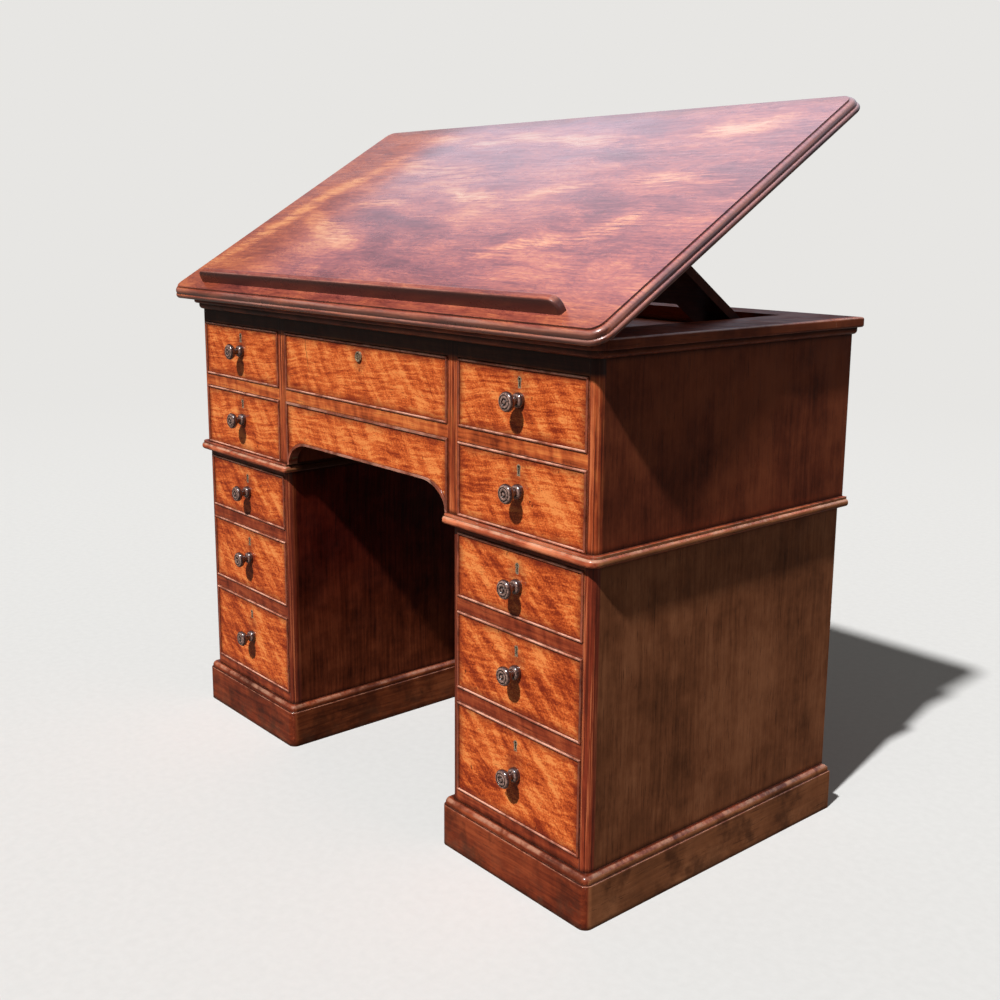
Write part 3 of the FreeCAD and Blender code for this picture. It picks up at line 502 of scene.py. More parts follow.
@dataclass(frozen=True)
class FlameVeneer:
    """Orange-brown figured veneer of a bank of drawer fronts, with its darker cock beads.

    Attributes:
        name: the material's name.
        face: where the veneer's front face lies along Y.
        handled: where hands have darkened it, each as how far it is from the middle along X, and its Z.
        fronts: the middle of each front along X and Z, then half its width and half its height.
        lean: the slant of the figure's ribbons, in degrees.
        ribbon: how much of the figure they make up.
        shift: how far the figure is moved, so that no two banks match.
        depth: how much darker the bank is, or how much paler where it is below 0.
        crack: where a crack starts at its top, along X and Z, and how far it runs down.
    """

    name: str
    face: float
    handled: tuple[tuple[float, float], ...]
    fronts: tuple[tuple[float, float, float, float], ...]
    lean: float = 38.0
    ribbon: float = 0.35
    shift: Triple = NOUGHT
    depth: float = 0.0
    crack: Triple | None = None

    def figured(self, sheet: NodeSheet, place: Any) -> Any:
        """Give the veneer's clean colour: clouds, slanting ripples, fine flecks and dark pores.

        Args:
            sheet: the material in hand.
            place: the place, moved to this bank's own figure.

        Returns:
            The colour's socket.
        """
        swirl = sheet.warped(sheet.warped(place, 4.0, 0.022), 24.0, 0.004)
        grain = sheet.streaks(swirl, (13.0, 40.0, 170.0), 5.0, 0.70, (0.0, 4.0, 0.0))
        ribbon = sheet.streaks(swirl, (54.0, 9.0, 10.0), 4.0, 0.62, (0.0, self.lean, 0.0))
        cloud = sheet.lumps(swirl, 10.0, 3.0, 0.6)
        fleck = sheet.streaks(place, (330.0, 200.0, 420.0), 2.0, 0.6)
        parts = ((grain, 0.63 - self.ribbon), (ribbon, self.ribbon), (fleck, 0.22))
        figure = sheet.less(sheet.heaped(parts, sheet.times(cloud, 0.15)), self.depth)
        wood = sheet.ramp(figure, VENEER_STOPS)
        pores = sheet.streaks(swirl, (70.0, 200.0, 640.0), 2.0, 0.5, (0.0, 3.0, 0.0))
        wood = sheet.blend(sheet.span(pores, 0.60, 0.74, 0.0, 0.55), wood, VENEER_PORE)
        spot = sheet.streaks(place, (110.0, 80.0, 60.0), 1.0)
        return sheet.blend(sheet.span(spot, 0.76, 0.80, 0.0, 0.75), wood, VENEER_SPOT)

    def darkened(self, sheet: NodeSheet) -> Any:
        """Give how far hands have darkened the veneer round its knobs and keyholes.

        Args:
            sheet: the material in hand.

        Returns:
            A socket that is 1 where it is darkest.
        """
        from_middle, up = sheet.from_middle, sheet.up
        stain = 0.0
        for x, z in self.handled:
            sideways = sheet.times(sheet.less(from_middle, x), 1.0 / HAND_HALF_WIDTH)
            upwards = sheet.times(sheet.less(up, z + HAND_RISE), 1.0 / HAND_HALF_HEIGHT)
            square = sheet.plus(upwards, upwards, sheet.times(sideways, sideways))
            stain = sheet.most(stain, sheet.span(square, 1.3, 0.1))
        worn = sheet.span(sheet.lumps(sheet.here, 45.0, 4.0, 0.65), 0.3, 0.65, 0.25, 1.0)
        return sheet.times(stain, worn)

    def from_edge(self, sheet: NodeSheet) -> tuple[Any, Any]:
        """Give how far in from its front's nearest edge a place is, and whether that edge is level.

        Args:
            sheet: the material in hand.

        Returns:
            The distance's socket, and a socket that is 1 near a level edge.
        """
        from_middle, up = sheet.from_middle, sheet.up
        inward, level = -1.0, 0.0
        for x, z, half_width, half_height in self.fronts:
            from_side = sheet.less(half_width, sheet.size(sheet.less(from_middle, x)))
            from_end = sheet.less(half_height, sheet.size(sheet.less(up, z)))
            nearest = sheet.math("MINIMUM", from_side, from_end)
            inward = sheet.most(inward, nearest)
            on_front = sheet.above(nearest, -0.001)
            level = sheet.most(level, sheet.times(on_front, sheet.above(from_side, from_end)))
        return inward, level

    def cracked(self, sheet: NodeSheet) -> Any:
        """Give where the thin crack runs.

        Args:
            sheet: the material in hand.

        Returns:
            A socket that is 1 inside the crack.
        """
        x, z, fall = self.crack
        below = sheet.less(z, sheet.up)
        wander = sheet.streaks(sheet.here, (0.0, 0.0, 55.0), 2.0)
        line = sheet.plus(below, CRACK_SLANT, sheet.plus(wander, CRACK_WANDER, x - CRACK_WANDER / 2))
        off = sheet.size(sheet.less(sheet.across, line))
        return sheet.times(sheet.span(off, 0.0003, 0.0009, 1.0, 0.0), sheet.within(below, 0.0, fall))

    def dovetailed(self, sheet: NodeSheet) -> Any:
        """Give where the drawer side's tails show in the front's end grain.

        Args:
            sheet: the material in hand.

        Returns:
            A socket that is 1 on a tail.
        """
        back = sheet.back
        lap = self.face + TAIL_LAP
        along = sheet.span(back, lap, self.face + FRONT_THICKNESS, 0.38, 0.27, False)
        row = sheet.less(sheet.math("FRACT", sheet.math("DIVIDE", sheet.up, TAIL_PITCH)), 0.5)
        tail = sheet.below(sheet.size(row), along)
        return sheet.times(tail, sheet.above(back, lap), sheet.above(sheet.sideways, 0.9))

    def beaded(self, sheet: NodeSheet, place: Any, grain: Any, level: Any) -> Any:
        """Give the colour of the cock beads, with a painted highlight along their upward-facing crests,
        strongest on level beads.

        Args:
            sheet: the material in hand.
            place: the place, moved to this bank's own figure.
            grain: the beads' grain.
            level: where the nearest edge of the front is level.

        Returns:
            The colour's socket.
        """
        # Painted highlight: pale patches on the beads' upward-facing crests, mostly on level beads.
        pale_highlight = sheet.times(
            sheet.span(sheet.upwards, -0.30, 0.35, 0.15, 1.0),
            sheet.span(level, 0.0, 1.0, 0.14, 0.95),
            sheet.span(sheet.lumps(place, 22.0, 4.0, 0.65), 0.36, 0.60, 0.15, 1.0))
        return sheet.blend(pale_highlight, sheet.ramp(grain, BEAD_STOPS), BEAD_HIGHLIGHT)

    def build(self) -> Material:
        """Make the material.

        Returns:
            The finished material.
        """
        sheet = NodeSheet(self.name)
        place = sheet.vector("ADD", sheet.here, self.shift)
        wood = self.figured(sheet, place)
        wood = sheet.blend(sheet.times(self.darkened(sheet), 0.60), wood, HAND_STAIN)
        inward, level = self.from_edge(sheet)
        margin = sheet.plus(sheet.lumps(place, 38.0, 4.0, 0.65), 0.024, inward)
        wood = sheet.blend(sheet.span(margin, 0.014, 0.034, 0.62, 0.0), wood, MARGIN_STAIN)
        if self.crack:
            wood = sheet.blend(self.cracked(sheet), wood, CRACK_DARK)
        # Dirt and painted shade: the veneer darkens in creases beside the beads.
        wood = sheet.blend(sheet.span(sheet.crease(0.008), 0.55, 0.99, 0.90, 0.0), wood, VENEER_DIRT_AND_SHADE)
        grain = sheet.lumps(place, 34.0, 4.0, 0.6)
        in_front = sheet.below(sheet.back, self.face - BEAD_AHEAD)
        behind = sheet.above(sheet.back, self.face + BEAD_BEHIND)
        off_face = sheet.math("ADD", in_front, behind, clamp=True)
        colour = sheet.blend(off_face, wood, self.beaded(sheet, place, grain, level))
        colour = sheet.blend(self.dovetailed(sheet), colour, sheet.ramp(grain, TAIL_STOPS))
        rough = sheet.span(sheet.lumps(place, 24.0, 4.0), 0.35, 0.7, 0.30, 0.46)
        rough = sheet.plus(in_front, -0.10, rough)
        relief = sheet.times(sheet.lumps(place, 16.0, 2.0), 1.4)
        relief = sheet.plus(sheet.streaks(place, (500.0, 100.0, 60.0)), 0.25, relief)
        return sheet.finish(colour, rough, relief, 0.0004, {
            "Specular IOR Level": 0.35,
            "Coat Weight": sheet.span(in_front, 0.0, 1.0, 0.08, 0.9),
            "Coat Roughness": 0.10,
        })


@dataclass(frozen=True)
class Tones:
    """Three colours of one timber, from its dark grain to its light."""

    dark: Colour
    middle: Colour
    light: Colour

    def stops(self) -> Stops:
        """Give the colours where they lie on a figure of noise."""
        return ((0.40, self.dark), (0.50, self.middle), (0.60, self.light))


CASE_TONES = Tones((0.170, 0.024, 0.007), (0.570, 0.110, 0.027), (0.920, 0.280, 0.070))
PEDESTAL_TONES = Tones((0.080, 0.011, 0.005), (0.270, 0.042, 0.015), (0.510, 0.106, 0.034))
WAIST_TONES = Tones((0.130, 0.020, 0.008), (0.490, 0.100, 0.041), (0.830, 0.255, 0.115))
MOULDING_TONES = Tones((0.080, 0.013, 0.006), (0.250, 0.050, 0.021), (0.460, 0.120, 0.050))
# Very dark tones for the prop and its racks, standing in for the slope's shadow over them: painted shade.
PROP_SHADE_TONES = Tones((0.032, 0.008, 0.004), (0.078, 0.019, 0.009), (0.138, 0.038, 0.018))
PLINTH_TONES = Tones((0.066, 0.009, 0.004), (0.208, 0.033, 0.011), (0.370, 0.072, 0.023))
PLINTH_SIDE_TONES = Tones((0.200, 0.068, 0.026), (0.370, 0.130, 0.052), (0.540, 0.210, 0.090))
CASE_SIDE_TONES = Tones((0.085, 0.017, 0.007), (0.180, 0.039, 0.016), (0.295, 0.074, 0.029))
PEDESTAL_SIDE_TONES = Tones((0.130, 0.042, 0.016), (0.275, 0.092, 0.037), (0.425, 0.160, 0.070))
# Painted shade beside the kneehole: the paler shade low down and on the plinth, and the deep shade above.
KNEEHOLE_LOW_SHADE_TONES = Tones((0.095, 0.017, 0.006), (0.250, 0.056, 0.018), (0.430, 0.115, 0.040))
KNEEHOLE_DEEP_SHADE_TONES = Tones((0.028, 0.003, 0.001), (0.085, 0.008, 0.004), (0.165, 0.018, 0.008))


# Colours that grain, wear and dirt give the solid timber, with painted shade under the overhang, in creases
# and in the kneehole, and painted highlights on edges and crests.
POST_RED = (0.300, 0.042, 0.018)
STRIPE_DARK = (0.060, 0.010, 0.005)
STRIPE_PALE = (0.800, 0.230, 0.085)
OVERHANG_PAINTED_SHADOW = (0.022, 0.007, 0.007)
INNER_POST_DARK = (0.070, 0.012, 0.006)
TIMBER_PORE = (0.020, 0.005, 0.003)
TIMBER_DIRT_AND_SHADE = (0.016, 0.005, 0.003)
EDGE_WEAR_AND_HIGHLIGHT = (0.58, 0.33, 0.25)
CREST_HIGHLIGHT = (0.66, 0.37, 0.24)
BLOTCH = (0.040, 0.010, 0.005)
FLOOR_DUST = (0.125, 0.056, 0.030)
KNEEHOLE_SHADE = (0.018, 0.005, 0.004)


@dataclass(frozen=True)
class CarcassTimber:
    """Waxed solid timber, with its grain along each rail and upright on posts and side panels.

    Attributes:
        name: the material's name.
        fronts: the tones of the faces that look forwards or up.
        sides: the tones of the faces that look sideways.
        posts: the spans from the middle, along X, where the front's grain is upright.
        lying_sides: whether the grain of the sides lies level, as on a plinth or a moulding.
        edge_wear_and_highlight: how pale the edges are made, as wear and a painted highlight, and how
            strong the painted highlight on upward crests is.
        scuffed: whether it is scuffed and dusty near the floor.
        kneehole_shade_reach: how far from the middle, along X, the sides get painted kneehole shade, paler
            near the floor, or 0 where none; where it is set, the inner posts are darker too.
        post_back: where the corner posts end and the side panels start, along Y.
        painted_shadow_top: how high up the front the painted shadow under the overhang starts, or 0 where
            there is none.
        shaded: how far from the middle, along X, painted kneehole shade darkens it behind its front, or 0
            where it isn't.
    """

    name: str
    fronts: Tones
    sides: Tones
    posts: tuple[tuple[float, float], ...] = ()
    lying_sides: bool = False
    edge_wear_and_highlight: float = 0.0
    scuffed: bool = False
    kneehole_shade_reach: float = 0.0
    post_back: float | None = None
    painted_shadow_top: float = 0.0
    shaded: float = 0.0

    def upright(self, sheet: NodeSheet, sideways: Any) -> Any:
        """Give where the grain stands upright: the posts and the faces that look sideways.

        Args:
            sheet: the material in hand.
            sideways: how far the face looks sideways.

        Returns:
            A socket that is 1 where the grain is upright.
        """
        from_middle = sheet.from_middle
        in_front = sheet.below(sheet.back, CASE_FRONT + FRONT_BAND)
        upright = sideways
        for low, high in self.posts:
            upright = sheet.most(upright, sheet.times(sheet.within(from_middle, low, high), in_front))
        return upright

    def grain_place(self, sheet: NodeSheet, upright: Any) -> Any:
        """Stretch the place along the grain of each face.

        Args:
            sheet: the material in hand.
            upright: where the grain stands upright.

        Returns:
            The stretched place's socket.
        """
        place = sheet.warped(sheet.here, 5.0, 0.008)
        along = sheet.vector("MULTIPLY", place, (6.0, 150.0, 150.0))
        turned = (150.0, 6.0, 150.0) if self.lying_sides else (150.0, 150.0, 6.0)
        return sheet.choose(upright, along, sheet.vector("MULTIPLY", place, turned))

    def figured(self, sheet: NodeSheet, grain_place: Any) -> Any:
        """Give how pale the figure is, from its grain, ribbons, bands and clouds.

        Args:
            sheet: the material in hand.
            grain_place: the place, stretched along the grain.

        Returns:
            The figure's socket.
        """
        grain = sheet.lumps(grain_place, 1.0, 5.0, 0.66)
        ribbon = sheet.streaks(sheet.here, (48.0, 20.0, 16.0), 4.0, 0.62, (0.0, 18.0, 0.0))
        ribbon_share = 0.10 if self.lying_sides else 0.30
        band = sheet.lumps(sheet.vector("SCALE", grain_place, scale=0.20), 1.0, 2.0, 0.5)
        cloud = sheet.lumps(sheet.here, 7.0, 5.0, 0.62)
        parts = ((ribbon, ribbon_share), (band, 0.14), (cloud, 0.52 - ribbon_share))
        return sheet.heaped(parts, sheet.times(grain, 0.34))

    def side_wood(self, sheet: NodeSheet, figure: Any) -> Any:
        """Give the colour of the faces that look sideways, mottled, with painted shade beside the kneehole
        that is paler near the floor.

        Args:
            sheet: the material in hand.
            figure: how pale the figure is.

        Returns:
            The colour's socket.
        """
        mottle = sheet.streaks(sheet.here, (6.0, 6.0, 4.0), 5.0, 0.66)
        calm = sheet.plus(mottle, 0.30, sheet.times(figure, 0.70))
        side = sheet.ramp(calm, self.sides.stops())
        side = sheet.blend(sheet.span(mottle, 0.46, 0.70, 0.0, 0.50), side, self.sides.light)
        side = sheet.blend(sheet.span(mottle, 0.48, 0.34, 0.0, 0.15), side, self.sides.dark)
        # Painted shade on the sides beside the kneehole, paler near the floor.
        if self.kneehole_shade_reach:
            near_floor = sheet.span(sheet.up, 0.45, 0.10, 0.0, 1.0 if self.lying_sides else 0.55)
            low = sheet.ramp(figure, KNEEHOLE_LOW_SHADE_TONES.stops())
            deep = sheet.blend(near_floor, sheet.ramp(figure, KNEEHOLE_DEEP_SHADE_TONES.stops()), low)
            side = sheet.blend(sheet.below(sheet.from_middle, self.kneehole_shade_reach), side, deep)
        return side

    def front_wood(self, sheet: NodeSheet, figure: Any, upright: Any) -> Any:
        """Give the colour of the faces that look forwards or up, with striped posts, a painted shadow under
        the overhang and darker inner posts.

        Args:
            sheet: the material in hand.
            figure: how pale the figure is.
            upright: where the grain stands upright.

        Returns:
            The colour's socket.
        """
        front = sheet.ramp(figure, self.fronts.stops())
        front = sheet.blend(sheet.times(upright, 0.45), front, POST_RED)
        stripe = sheet.streaks(sheet.here, (300.0, 300.0, 3.5), 3.0, 0.6)
        dark = sheet.times(upright, sheet.span(stripe, 0.52, 0.63, 0.0, 0.75))
        pale = sheet.times(upright, sheet.span(stripe, 0.47, 0.36, 0.0, 0.65))
        front = sheet.blend(pale, sheet.blend(dark, front, STRIPE_DARK), STRIPE_PALE)
        # Painted shadow: the front is darkened under the overhang of the slope.
        if self.painted_shadow_top:
            overhang_shadow = sheet.span(sheet.up, self.painted_shadow_top, self.painted_shadow_top + 0.010, 0.0, 0.92)
            overhang_shadow = sheet.times(overhang_shadow, sheet.below(sheet.back, CASE_FRONT + FRONT_BAND))
            front = sheet.blend(overhang_shadow, front, OVERHANG_PAINTED_SHADOW)
        if self.kneehole_shade_reach:
            inner = sheet.times(sheet.below(sheet.from_middle, INNER_POST_REACH), upright, 0.42)
            front = sheet.blend(inner, front, INNER_POST_DARK)
        return front

    def worn(self, sheet: NodeSheet, wood: Any, open_air: Any) -> Any:
        """Make the edges pale, as wear and a painted highlight, and paint a highlight on the upward crests
        of a plinth or a moulding.

        Args:
            sheet: the material in hand.
            wood: the colour so far.
            open_air: how open the surface is.

        Returns:
            The colour's socket.
        """
        # Pale edges: wear, and a painted highlight along them.
        if self.edge_wear_and_highlight:
            patchy = sheet.span(sheet.lumps(sheet.here, 60.0, 4.0, 0.7), 0.40, 0.62, 0.1, 1.0)
            outside = sheet.span(open_air, 0.55, 0.85)
            pale_highlight = sheet.times(sheet.edge(0.0028), patchy, self.edge_wear_and_highlight, outside)
            wood = sheet.blend(pale_highlight, wood, EDGE_WEAR_AND_HIGHLIGHT)
        # Painted highlight on the upward-facing crests of a plinth or a moulding.
        if self.lying_sides:
            rise = sheet.upwards
            streaky = sheet.span(sheet.lumps(sheet.here, 26.0, 5.0, 0.7), 0.38, 0.62, 0.10, 0.80)
            crest = sheet.times(sheet.span(rise, 0.20, 0.60), sheet.span(rise, 0.985, 0.90))
            wood = sheet.blend(sheet.times(crest, streaky, self.edge_wear_and_highlight), wood, CREST_HIGHLIGHT)
        return wood

    def build(self) -> Material:
        """Make the material.

        Returns:
            The finished material.
        """
        sheet = NodeSheet(self.name)
        sideways = sheet.span(sheet.sideways, 0.82, 0.99)
        if self.post_back is not None:
            panel = sheet.span(sheet.back, self.post_back - 0.002, self.post_back + 0.002)
            sideways = sheet.times(sideways, panel)
        upright = self.upright(sheet, sideways)
        grain_place = self.grain_place(sheet, upright)
        figure = self.figured(sheet, grain_place)
        front = self.front_wood(sheet, figure, upright)
        wood = sheet.blend(sideways, front, self.side_wood(sheet, figure))
        pore = sheet.lumps(sheet.vector("SCALE", grain_place, scale=3.4), 1.0, 2.0, 0.5)
        pore = sheet.span(pore, 0.58, 0.76)
        wood = sheet.blend(sheet.times(pore, 0.55), wood, TIMBER_PORE)
        # Dirt and painted shade: darker in creases and where parts meet.
        open_air = sheet.crease(0.010, False)
        wood = sheet.blend(sheet.span(open_air, 0.62, 0.97, 0.88, 0.0), wood, TIMBER_DIRT_AND_SHADE)
        wood = self.worn(sheet, wood, open_air)
        rough = sheet.span(sheet.lumps(sheet.here, 20.0, 4.0), 0.35, 0.7, 0.30, 0.50)
        if self.scuffed:
            blotch = sheet.span(sheet.lumps(sheet.here, 13.0, 4.0, 0.65), 0.52, 0.36, 0.0, 0.55)
            wood = sheet.blend(blotch, wood, BLOTCH)
            dust = sheet.span(sheet.lumps(sheet.here, 30.0, 5.0, 0.7), 0.42, 0.66)
            dust = sheet.times(sheet.span(sheet.up, 0.0, 0.060, 1.0, 0.0), dust)
            wood = sheet.blend(sheet.times(dust, 0.50), wood, FLOOR_DUST)
            rough = sheet.plus(dust, 0.35, rough)
        # Painted shade: darkened inside the kneehole, behind its front.
        if self.shaded:
            inside = sheet.below(sheet.from_middle, self.shaded)
            behind = sheet.span(sheet.back, PEDESTAL_FRONT + 0.004, PEDESTAL_FRONT + 0.030, 0.0, 0.88)
            wood = sheet.blend(sheet.times(inside, behind), wood, KNEEHOLE_SHADE)
        level = sheet.span(sheet.upwards, 0.90, 0.99)
        rough = sheet.heaped(((sideways, 0.10), (level, 0.12)), rough)
        coat = sheet.times(sheet.span(sideways, 0.0, 1.0, 0.50, 0.0), sheet.span(level, 0.0, 1.0, 1.0, 0.3))
        relief = sheet.times(sheet.lumps(sheet.here, 9.0, 2.0), 1.5)
        return sheet.finish(wood, rough, sheet.plus(pore, -0.5, relief), 0.0004, {
            "Specular IOR Level": 0.15, "Coat Weight": coat, "Coat Roughness": 0.15,
        })


@dataclass(frozen=True)
class Flame:
    """One long patch of the slope's figure.

    Attributes:
        x: its middle, along X.
        up: its middle, up the slope from the hinge.
        length: half its length.
        width: half its width.
        slant: its slant from the grain, in degrees.
        glow: how pale it is, or how dark where it is below 0.
    """

    x: float
    up: float
    length: float
    width: float
    slant: float
    glow: float = 0.10


FLAMES = (
    Flame(0.09, 0.570, 0.27, 0.026, -6.0, 0.12),
    Flame(-0.21, 0.605, 0.26, 0.024, -4.0),
    Flame(0.48, 0.585, 0.09, 0.028, 0.0, 0.13),
    Flame(0.48, 0.410, 0.10, 0.026, -8.0, 0.12),
    Flame(0.45, 0.260, 0.07, 0.040, 38.0, 0.13),
    Flame(0.20, 0.380, 0.08, 0.026, 15.0),
    Flame(0.29, 0.190, 0.09, 0.024, 20.0),
    Flame(-0.24, 0.480, 0.22, 0.028, -12.0, 0.12),
    Flame(-0.01, 0.360, 0.14, 0.032, -22.0),
    Flame(-0.55, 0.310, 0.24, 0.036, 66.0, 0.13),
    Flame(-0.34, 0.230, 0.18, 0.028, -20.0),
    Flame(-0.31, 0.330, 0.09, 0.024, 5.0),
    Flame(-0.07, 0.245, 0.13, 0.034, -6.0, -0.035),
    Flame(-0.25, 0.275, 0.07, 0.022, 5.0, -0.035),
    Flame(0.31, 0.355, 0.09, 0.034, -5.0, -0.035),
    Flame(0.40, 0.465, 0.09, 0.024, 10.0, -0.035),
    Flame(0.15, 0.640, 0.20, 0.024, -5.0, -0.045),
    Flame(-0.30, 0.560, 0.08, 0.022, 12.0, -0.045),
    Flame(-0.04, 0.130, 0.16, 0.026, 3.0, -0.035),
)


# Colours of the slope's polish: rosy over most of the board, and brown to the left and the front, with a
# painted sky sheen, painted reflections on streaks, edges and the back edge, and dirt with painted shade in
# creases.
ROSY_STOPS = (
    (0.39, (0.165, 0.046, 0.058)),
    (0.445, (0.250, 0.069, 0.083)),
    (0.49, (0.390, 0.108, 0.110)),
    (0.54, (0.600, 0.175, 0.134)),
    (0.60, (0.820, 0.330, 0.180)),
    (0.70, (0.980, 0.580, 0.340)),
)
BROWN_STOPS = (
    (0.39, (0.095, 0.016, 0.009)),
    (0.45, (0.240, 0.046, 0.022)),
    (0.50, (0.365, 0.079, 0.032)),
    (0.56, (0.530, 0.145, 0.050)),
    (0.67, (0.760, 0.310, 0.110)),
)
POLISH_SKY_SHEEN = (0.470, 0.385, 0.480)
POLISH_STREAK_REFLECTION = (0.800, 0.640, 0.640)
POLISH_PORE = (0.06, 0.016, 0.014)
POLISH_DIRT_AND_SHADE = (0.014, 0.005, 0.003)
BACK_EDGE_REFLECTION = (0.130, 0.085, 0.085)
LEDGE_DARK = (0.098, 0.036, 0.032)
EDGE_STOPS = ((0.40, (0.040, 0.012, 0.010)), (0.50, (0.085, 0.024, 0.016)), (0.62, (0.260, 0.072, 0.034)))
EDGE_PALE = (0.420, 0.190, 0.145)
EDGE_SKY_REFLECTION = (0.520, 0.340, 0.280)


@dataclass(frozen=True)
class SlopePolish:
    """Glossy polish over the slope's broad flamed board, whose grain runs along X.

    Attributes:
        name: the material's name.
        axis: the slope's hinge axis, as its Y and Z.
        darker: how much darker it is than the board, for the ledge.
        gloss: how strong the polish is.
    """

    name: str
    axis: tuple[float, float]
    darker: float = 0.0
    gloss: float = 1.0

    def figured(self, sheet: NodeSheet, swirl: Any, streak: Any) -> Any:
        """Give how pale the figure is, from its broad flames down to its flecks.

        Args:
            sheet: the material in hand.
            swirl: the place on the slope, bent with the grain.
            streak: the fine streaks along the grain.

        Returns:
            The figure's socket.
        """
        flame = sheet.streaks(swirl, (3.4, 17.0, 10.0), 4.0, 0.62, (0.0, 0.0, 5.0), 0.4)
        cloud = sheet.lumps(sheet.mapped(swirl, (5.0, 9.0, 4.0), shift=(3.1, 1.7, 0.0)), 1.0, 4.0, 0.6)
        fleck = sheet.streaks(swirl, (70.0, 240.0, 100.0), 3.0, 0.7)
        figure = sheet.heaped(((flame, 0.29), (cloud, 0.20), (streak, 0.21), (fleck, 0.19)), 0.055)
        feather = sheet.streaks(swirl, (6.0, 40.0, 20.0), 4.0, 0.65, (0.0, 0.0, 3.0), 0.5)
        patchy = sheet.span(sheet.math("ADD", feather, streak), 0.74, 1.22, 0.10, 1.35)
        for patch in FLAMES:
            middle = (patch.x, patch.up, 0.0)
            turn = (0.0, 0.0, math.radians(patch.slant))
            halves = (patch.length, patch.width, 10.0)
            spot = sheet.node("ShaderNodeMapping", swirl, middle, turn, halves, vector_type="TEXTURE")
            glow = sheet.span(sheet.vector("LENGTH", spot.outputs[0]), 1.5, 0.2, 0.0, patch.glow)
            figure = sheet.plus(glow, patchy, figure)
        return figure

    def painted_sheen(self, sheet: NodeSheet, wood: Any, flat: Any, streak: Any, swirl: Any, to_left: Any) -> Any:
        """Paint a pale sky sheen and pale streaks over the board, both painted reflections.

        Args:
            sheet: the material in hand.
            wood: the colour so far.
            flat: the place on the slope, as it lies flat.
            streak: the fine streaks along the grain.
            swirl: the place on the slope, bent with the grain.
            to_left: where the board turns brown at its left end.

        Returns:
            The colour's socket.
        """
        across, along, _ = sheet.split(swirl)
        off_middle = sheet.size(sheet.math("ADD", across, 0.06))
        # Painted reflection: a broad pale sheen up the board, weaker to the left and away from the middle.
        sky_sheen = sheet.times(
            sheet.span(along, 0.08, 0.62, 0.0, 0.46),
            sheet.span(streak, 0.36, 0.62, 0.65, 0.95),
            sheet.span(to_left, 0.0, 1.0, 1.0, 0.3),
            sheet.span(off_middle, 0.14, 0.48, 1.30, 0.75))
        # Painted reflection: pale streaks along the grain on the upper board.
        pale_highlight = sheet.streaks(sheet.warped(flat, 3.0, 0.020), (3.2, 260.0, 100.0), 3.0, 0.6)
        pale_highlight = sheet.times(sheet.span(pale_highlight, 0.60, 0.72), sheet.span(along, 0.25, 0.60, 0.0, 0.25))
        return sheet.blend(pale_highlight, sheet.blend(sky_sheen, wood, POLISH_SKY_SHEEN), POLISH_STREAK_REFLECTION)

    def edged(self, sheet: NodeSheet, wood: Any, flat: Any, tilt: Any, edge_on: Any) -> Any:
        """Give the board's edges their own darker grain, and paint a pale reflection on their upper
        corners.

        Args:
            sheet: the material in hand.
            wood: the colour so far.
            flat: the place on the slope, as it lies flat.
            tilt: how far the surface faces up from the slope.
            edge_on: where the surface is an edge.

        Returns:
            The colour's socket.
        """
        endways = sheet.span(sheet.sideways, 0.25, 0.75)
        along_front = sheet.vector("MULTIPLY", flat, (7.0, 130.0, 130.0))
        along_end = sheet.vector("MULTIPLY", flat, (130.0, 7.0, 130.0))
        place = sheet.choose(endways, along_front, along_end)
        edge_wood = sheet.ramp(sheet.lumps(place, 1.0, 5.0, 0.68), EDGE_STOPS)
        edge_wood = sheet.blend(sheet.span(endways, 0.0, 1.0, 0.20, 0.0), edge_wood, EDGE_PALE)
        wood = sheet.blend(sheet.times(edge_on, 0.92), wood, edge_wood)
        # Painted reflection on the upward-facing rounding of the edges.
        pale_highlight = sheet.times(
            sheet.span(tilt, 0.45, 0.75),
            sheet.span(tilt, 0.99, 0.94),
            sheet.span(sheet.lumps(place, 0.7, 5.0, 0.7), 0.36, 0.66, 0.05, 0.42))
        return sheet.blend(pale_highlight, wood, EDGE_SKY_REFLECTION)

    def build(self) -> Material:
        """Make the material.

        Returns:
            The finished material.
        """
        sheet = NodeSheet(self.name)
        moved = sheet.vector("SUBTRACT", sheet.here, (0.0, *self.axis))
        flat = sheet.mapped(moved, (1.0, 1.0, 1.0), (math.degrees(-SLOPE_ANGLE), 0.0, 0.0))
        swirl = sheet.warped(sheet.warped(flat, 4.5, 0.042), 16.0, 0.013)
        streak = sheet.streaks(sheet.warped(flat, 5.0, 0.012), (11.0, 210.0, 100.0), 5.0, 0.68)
        figure = self.figured(sheet, swirl, streak)
        across, along, _ = sheet.split(swirl)
        to_left = sheet.span(across, -0.22, -0.54)
        brown = sheet.most(to_left, sheet.span(along, 0.12, -0.02, 0.0, 0.8))
        wood = sheet.blend(brown, sheet.ramp(figure, ROSY_STOPS), sheet.ramp(figure, BROWN_STOPS))
        wood = self.painted_sheen(sheet, wood, flat, streak, swirl, to_left)
        pore = sheet.span(sheet.streaks(flat, (40.0, 560.0, 200.0), 2.0, 0.5), 0.60, 0.74)
        wood = sheet.blend(sheet.times(pore, 0.30), wood, POLISH_PORE)
        # Painted reflection: a greyish band along the board's upper back edge.
        wood = sheet.blend(sheet.span(along, 0.640, 0.685, 0.0, 0.40), wood, BACK_EDGE_REFLECTION)
        outwards = (0.0, -math.sin(SLOPE_ANGLE), math.cos(SLOPE_ANGLE))
        tilt = sheet.vector("DOT_PRODUCT", sheet.facing, outwards)
        edge_on = sheet.span(tilt, 0.97, 0.40)
        wood = self.edged(sheet, wood, flat, tilt, edge_on)
        if self.darker:
            wood = sheet.blend(sheet.span(edge_on, 0.0, 1.0, self.darker, 0.90), wood, LEDGE_DARK)
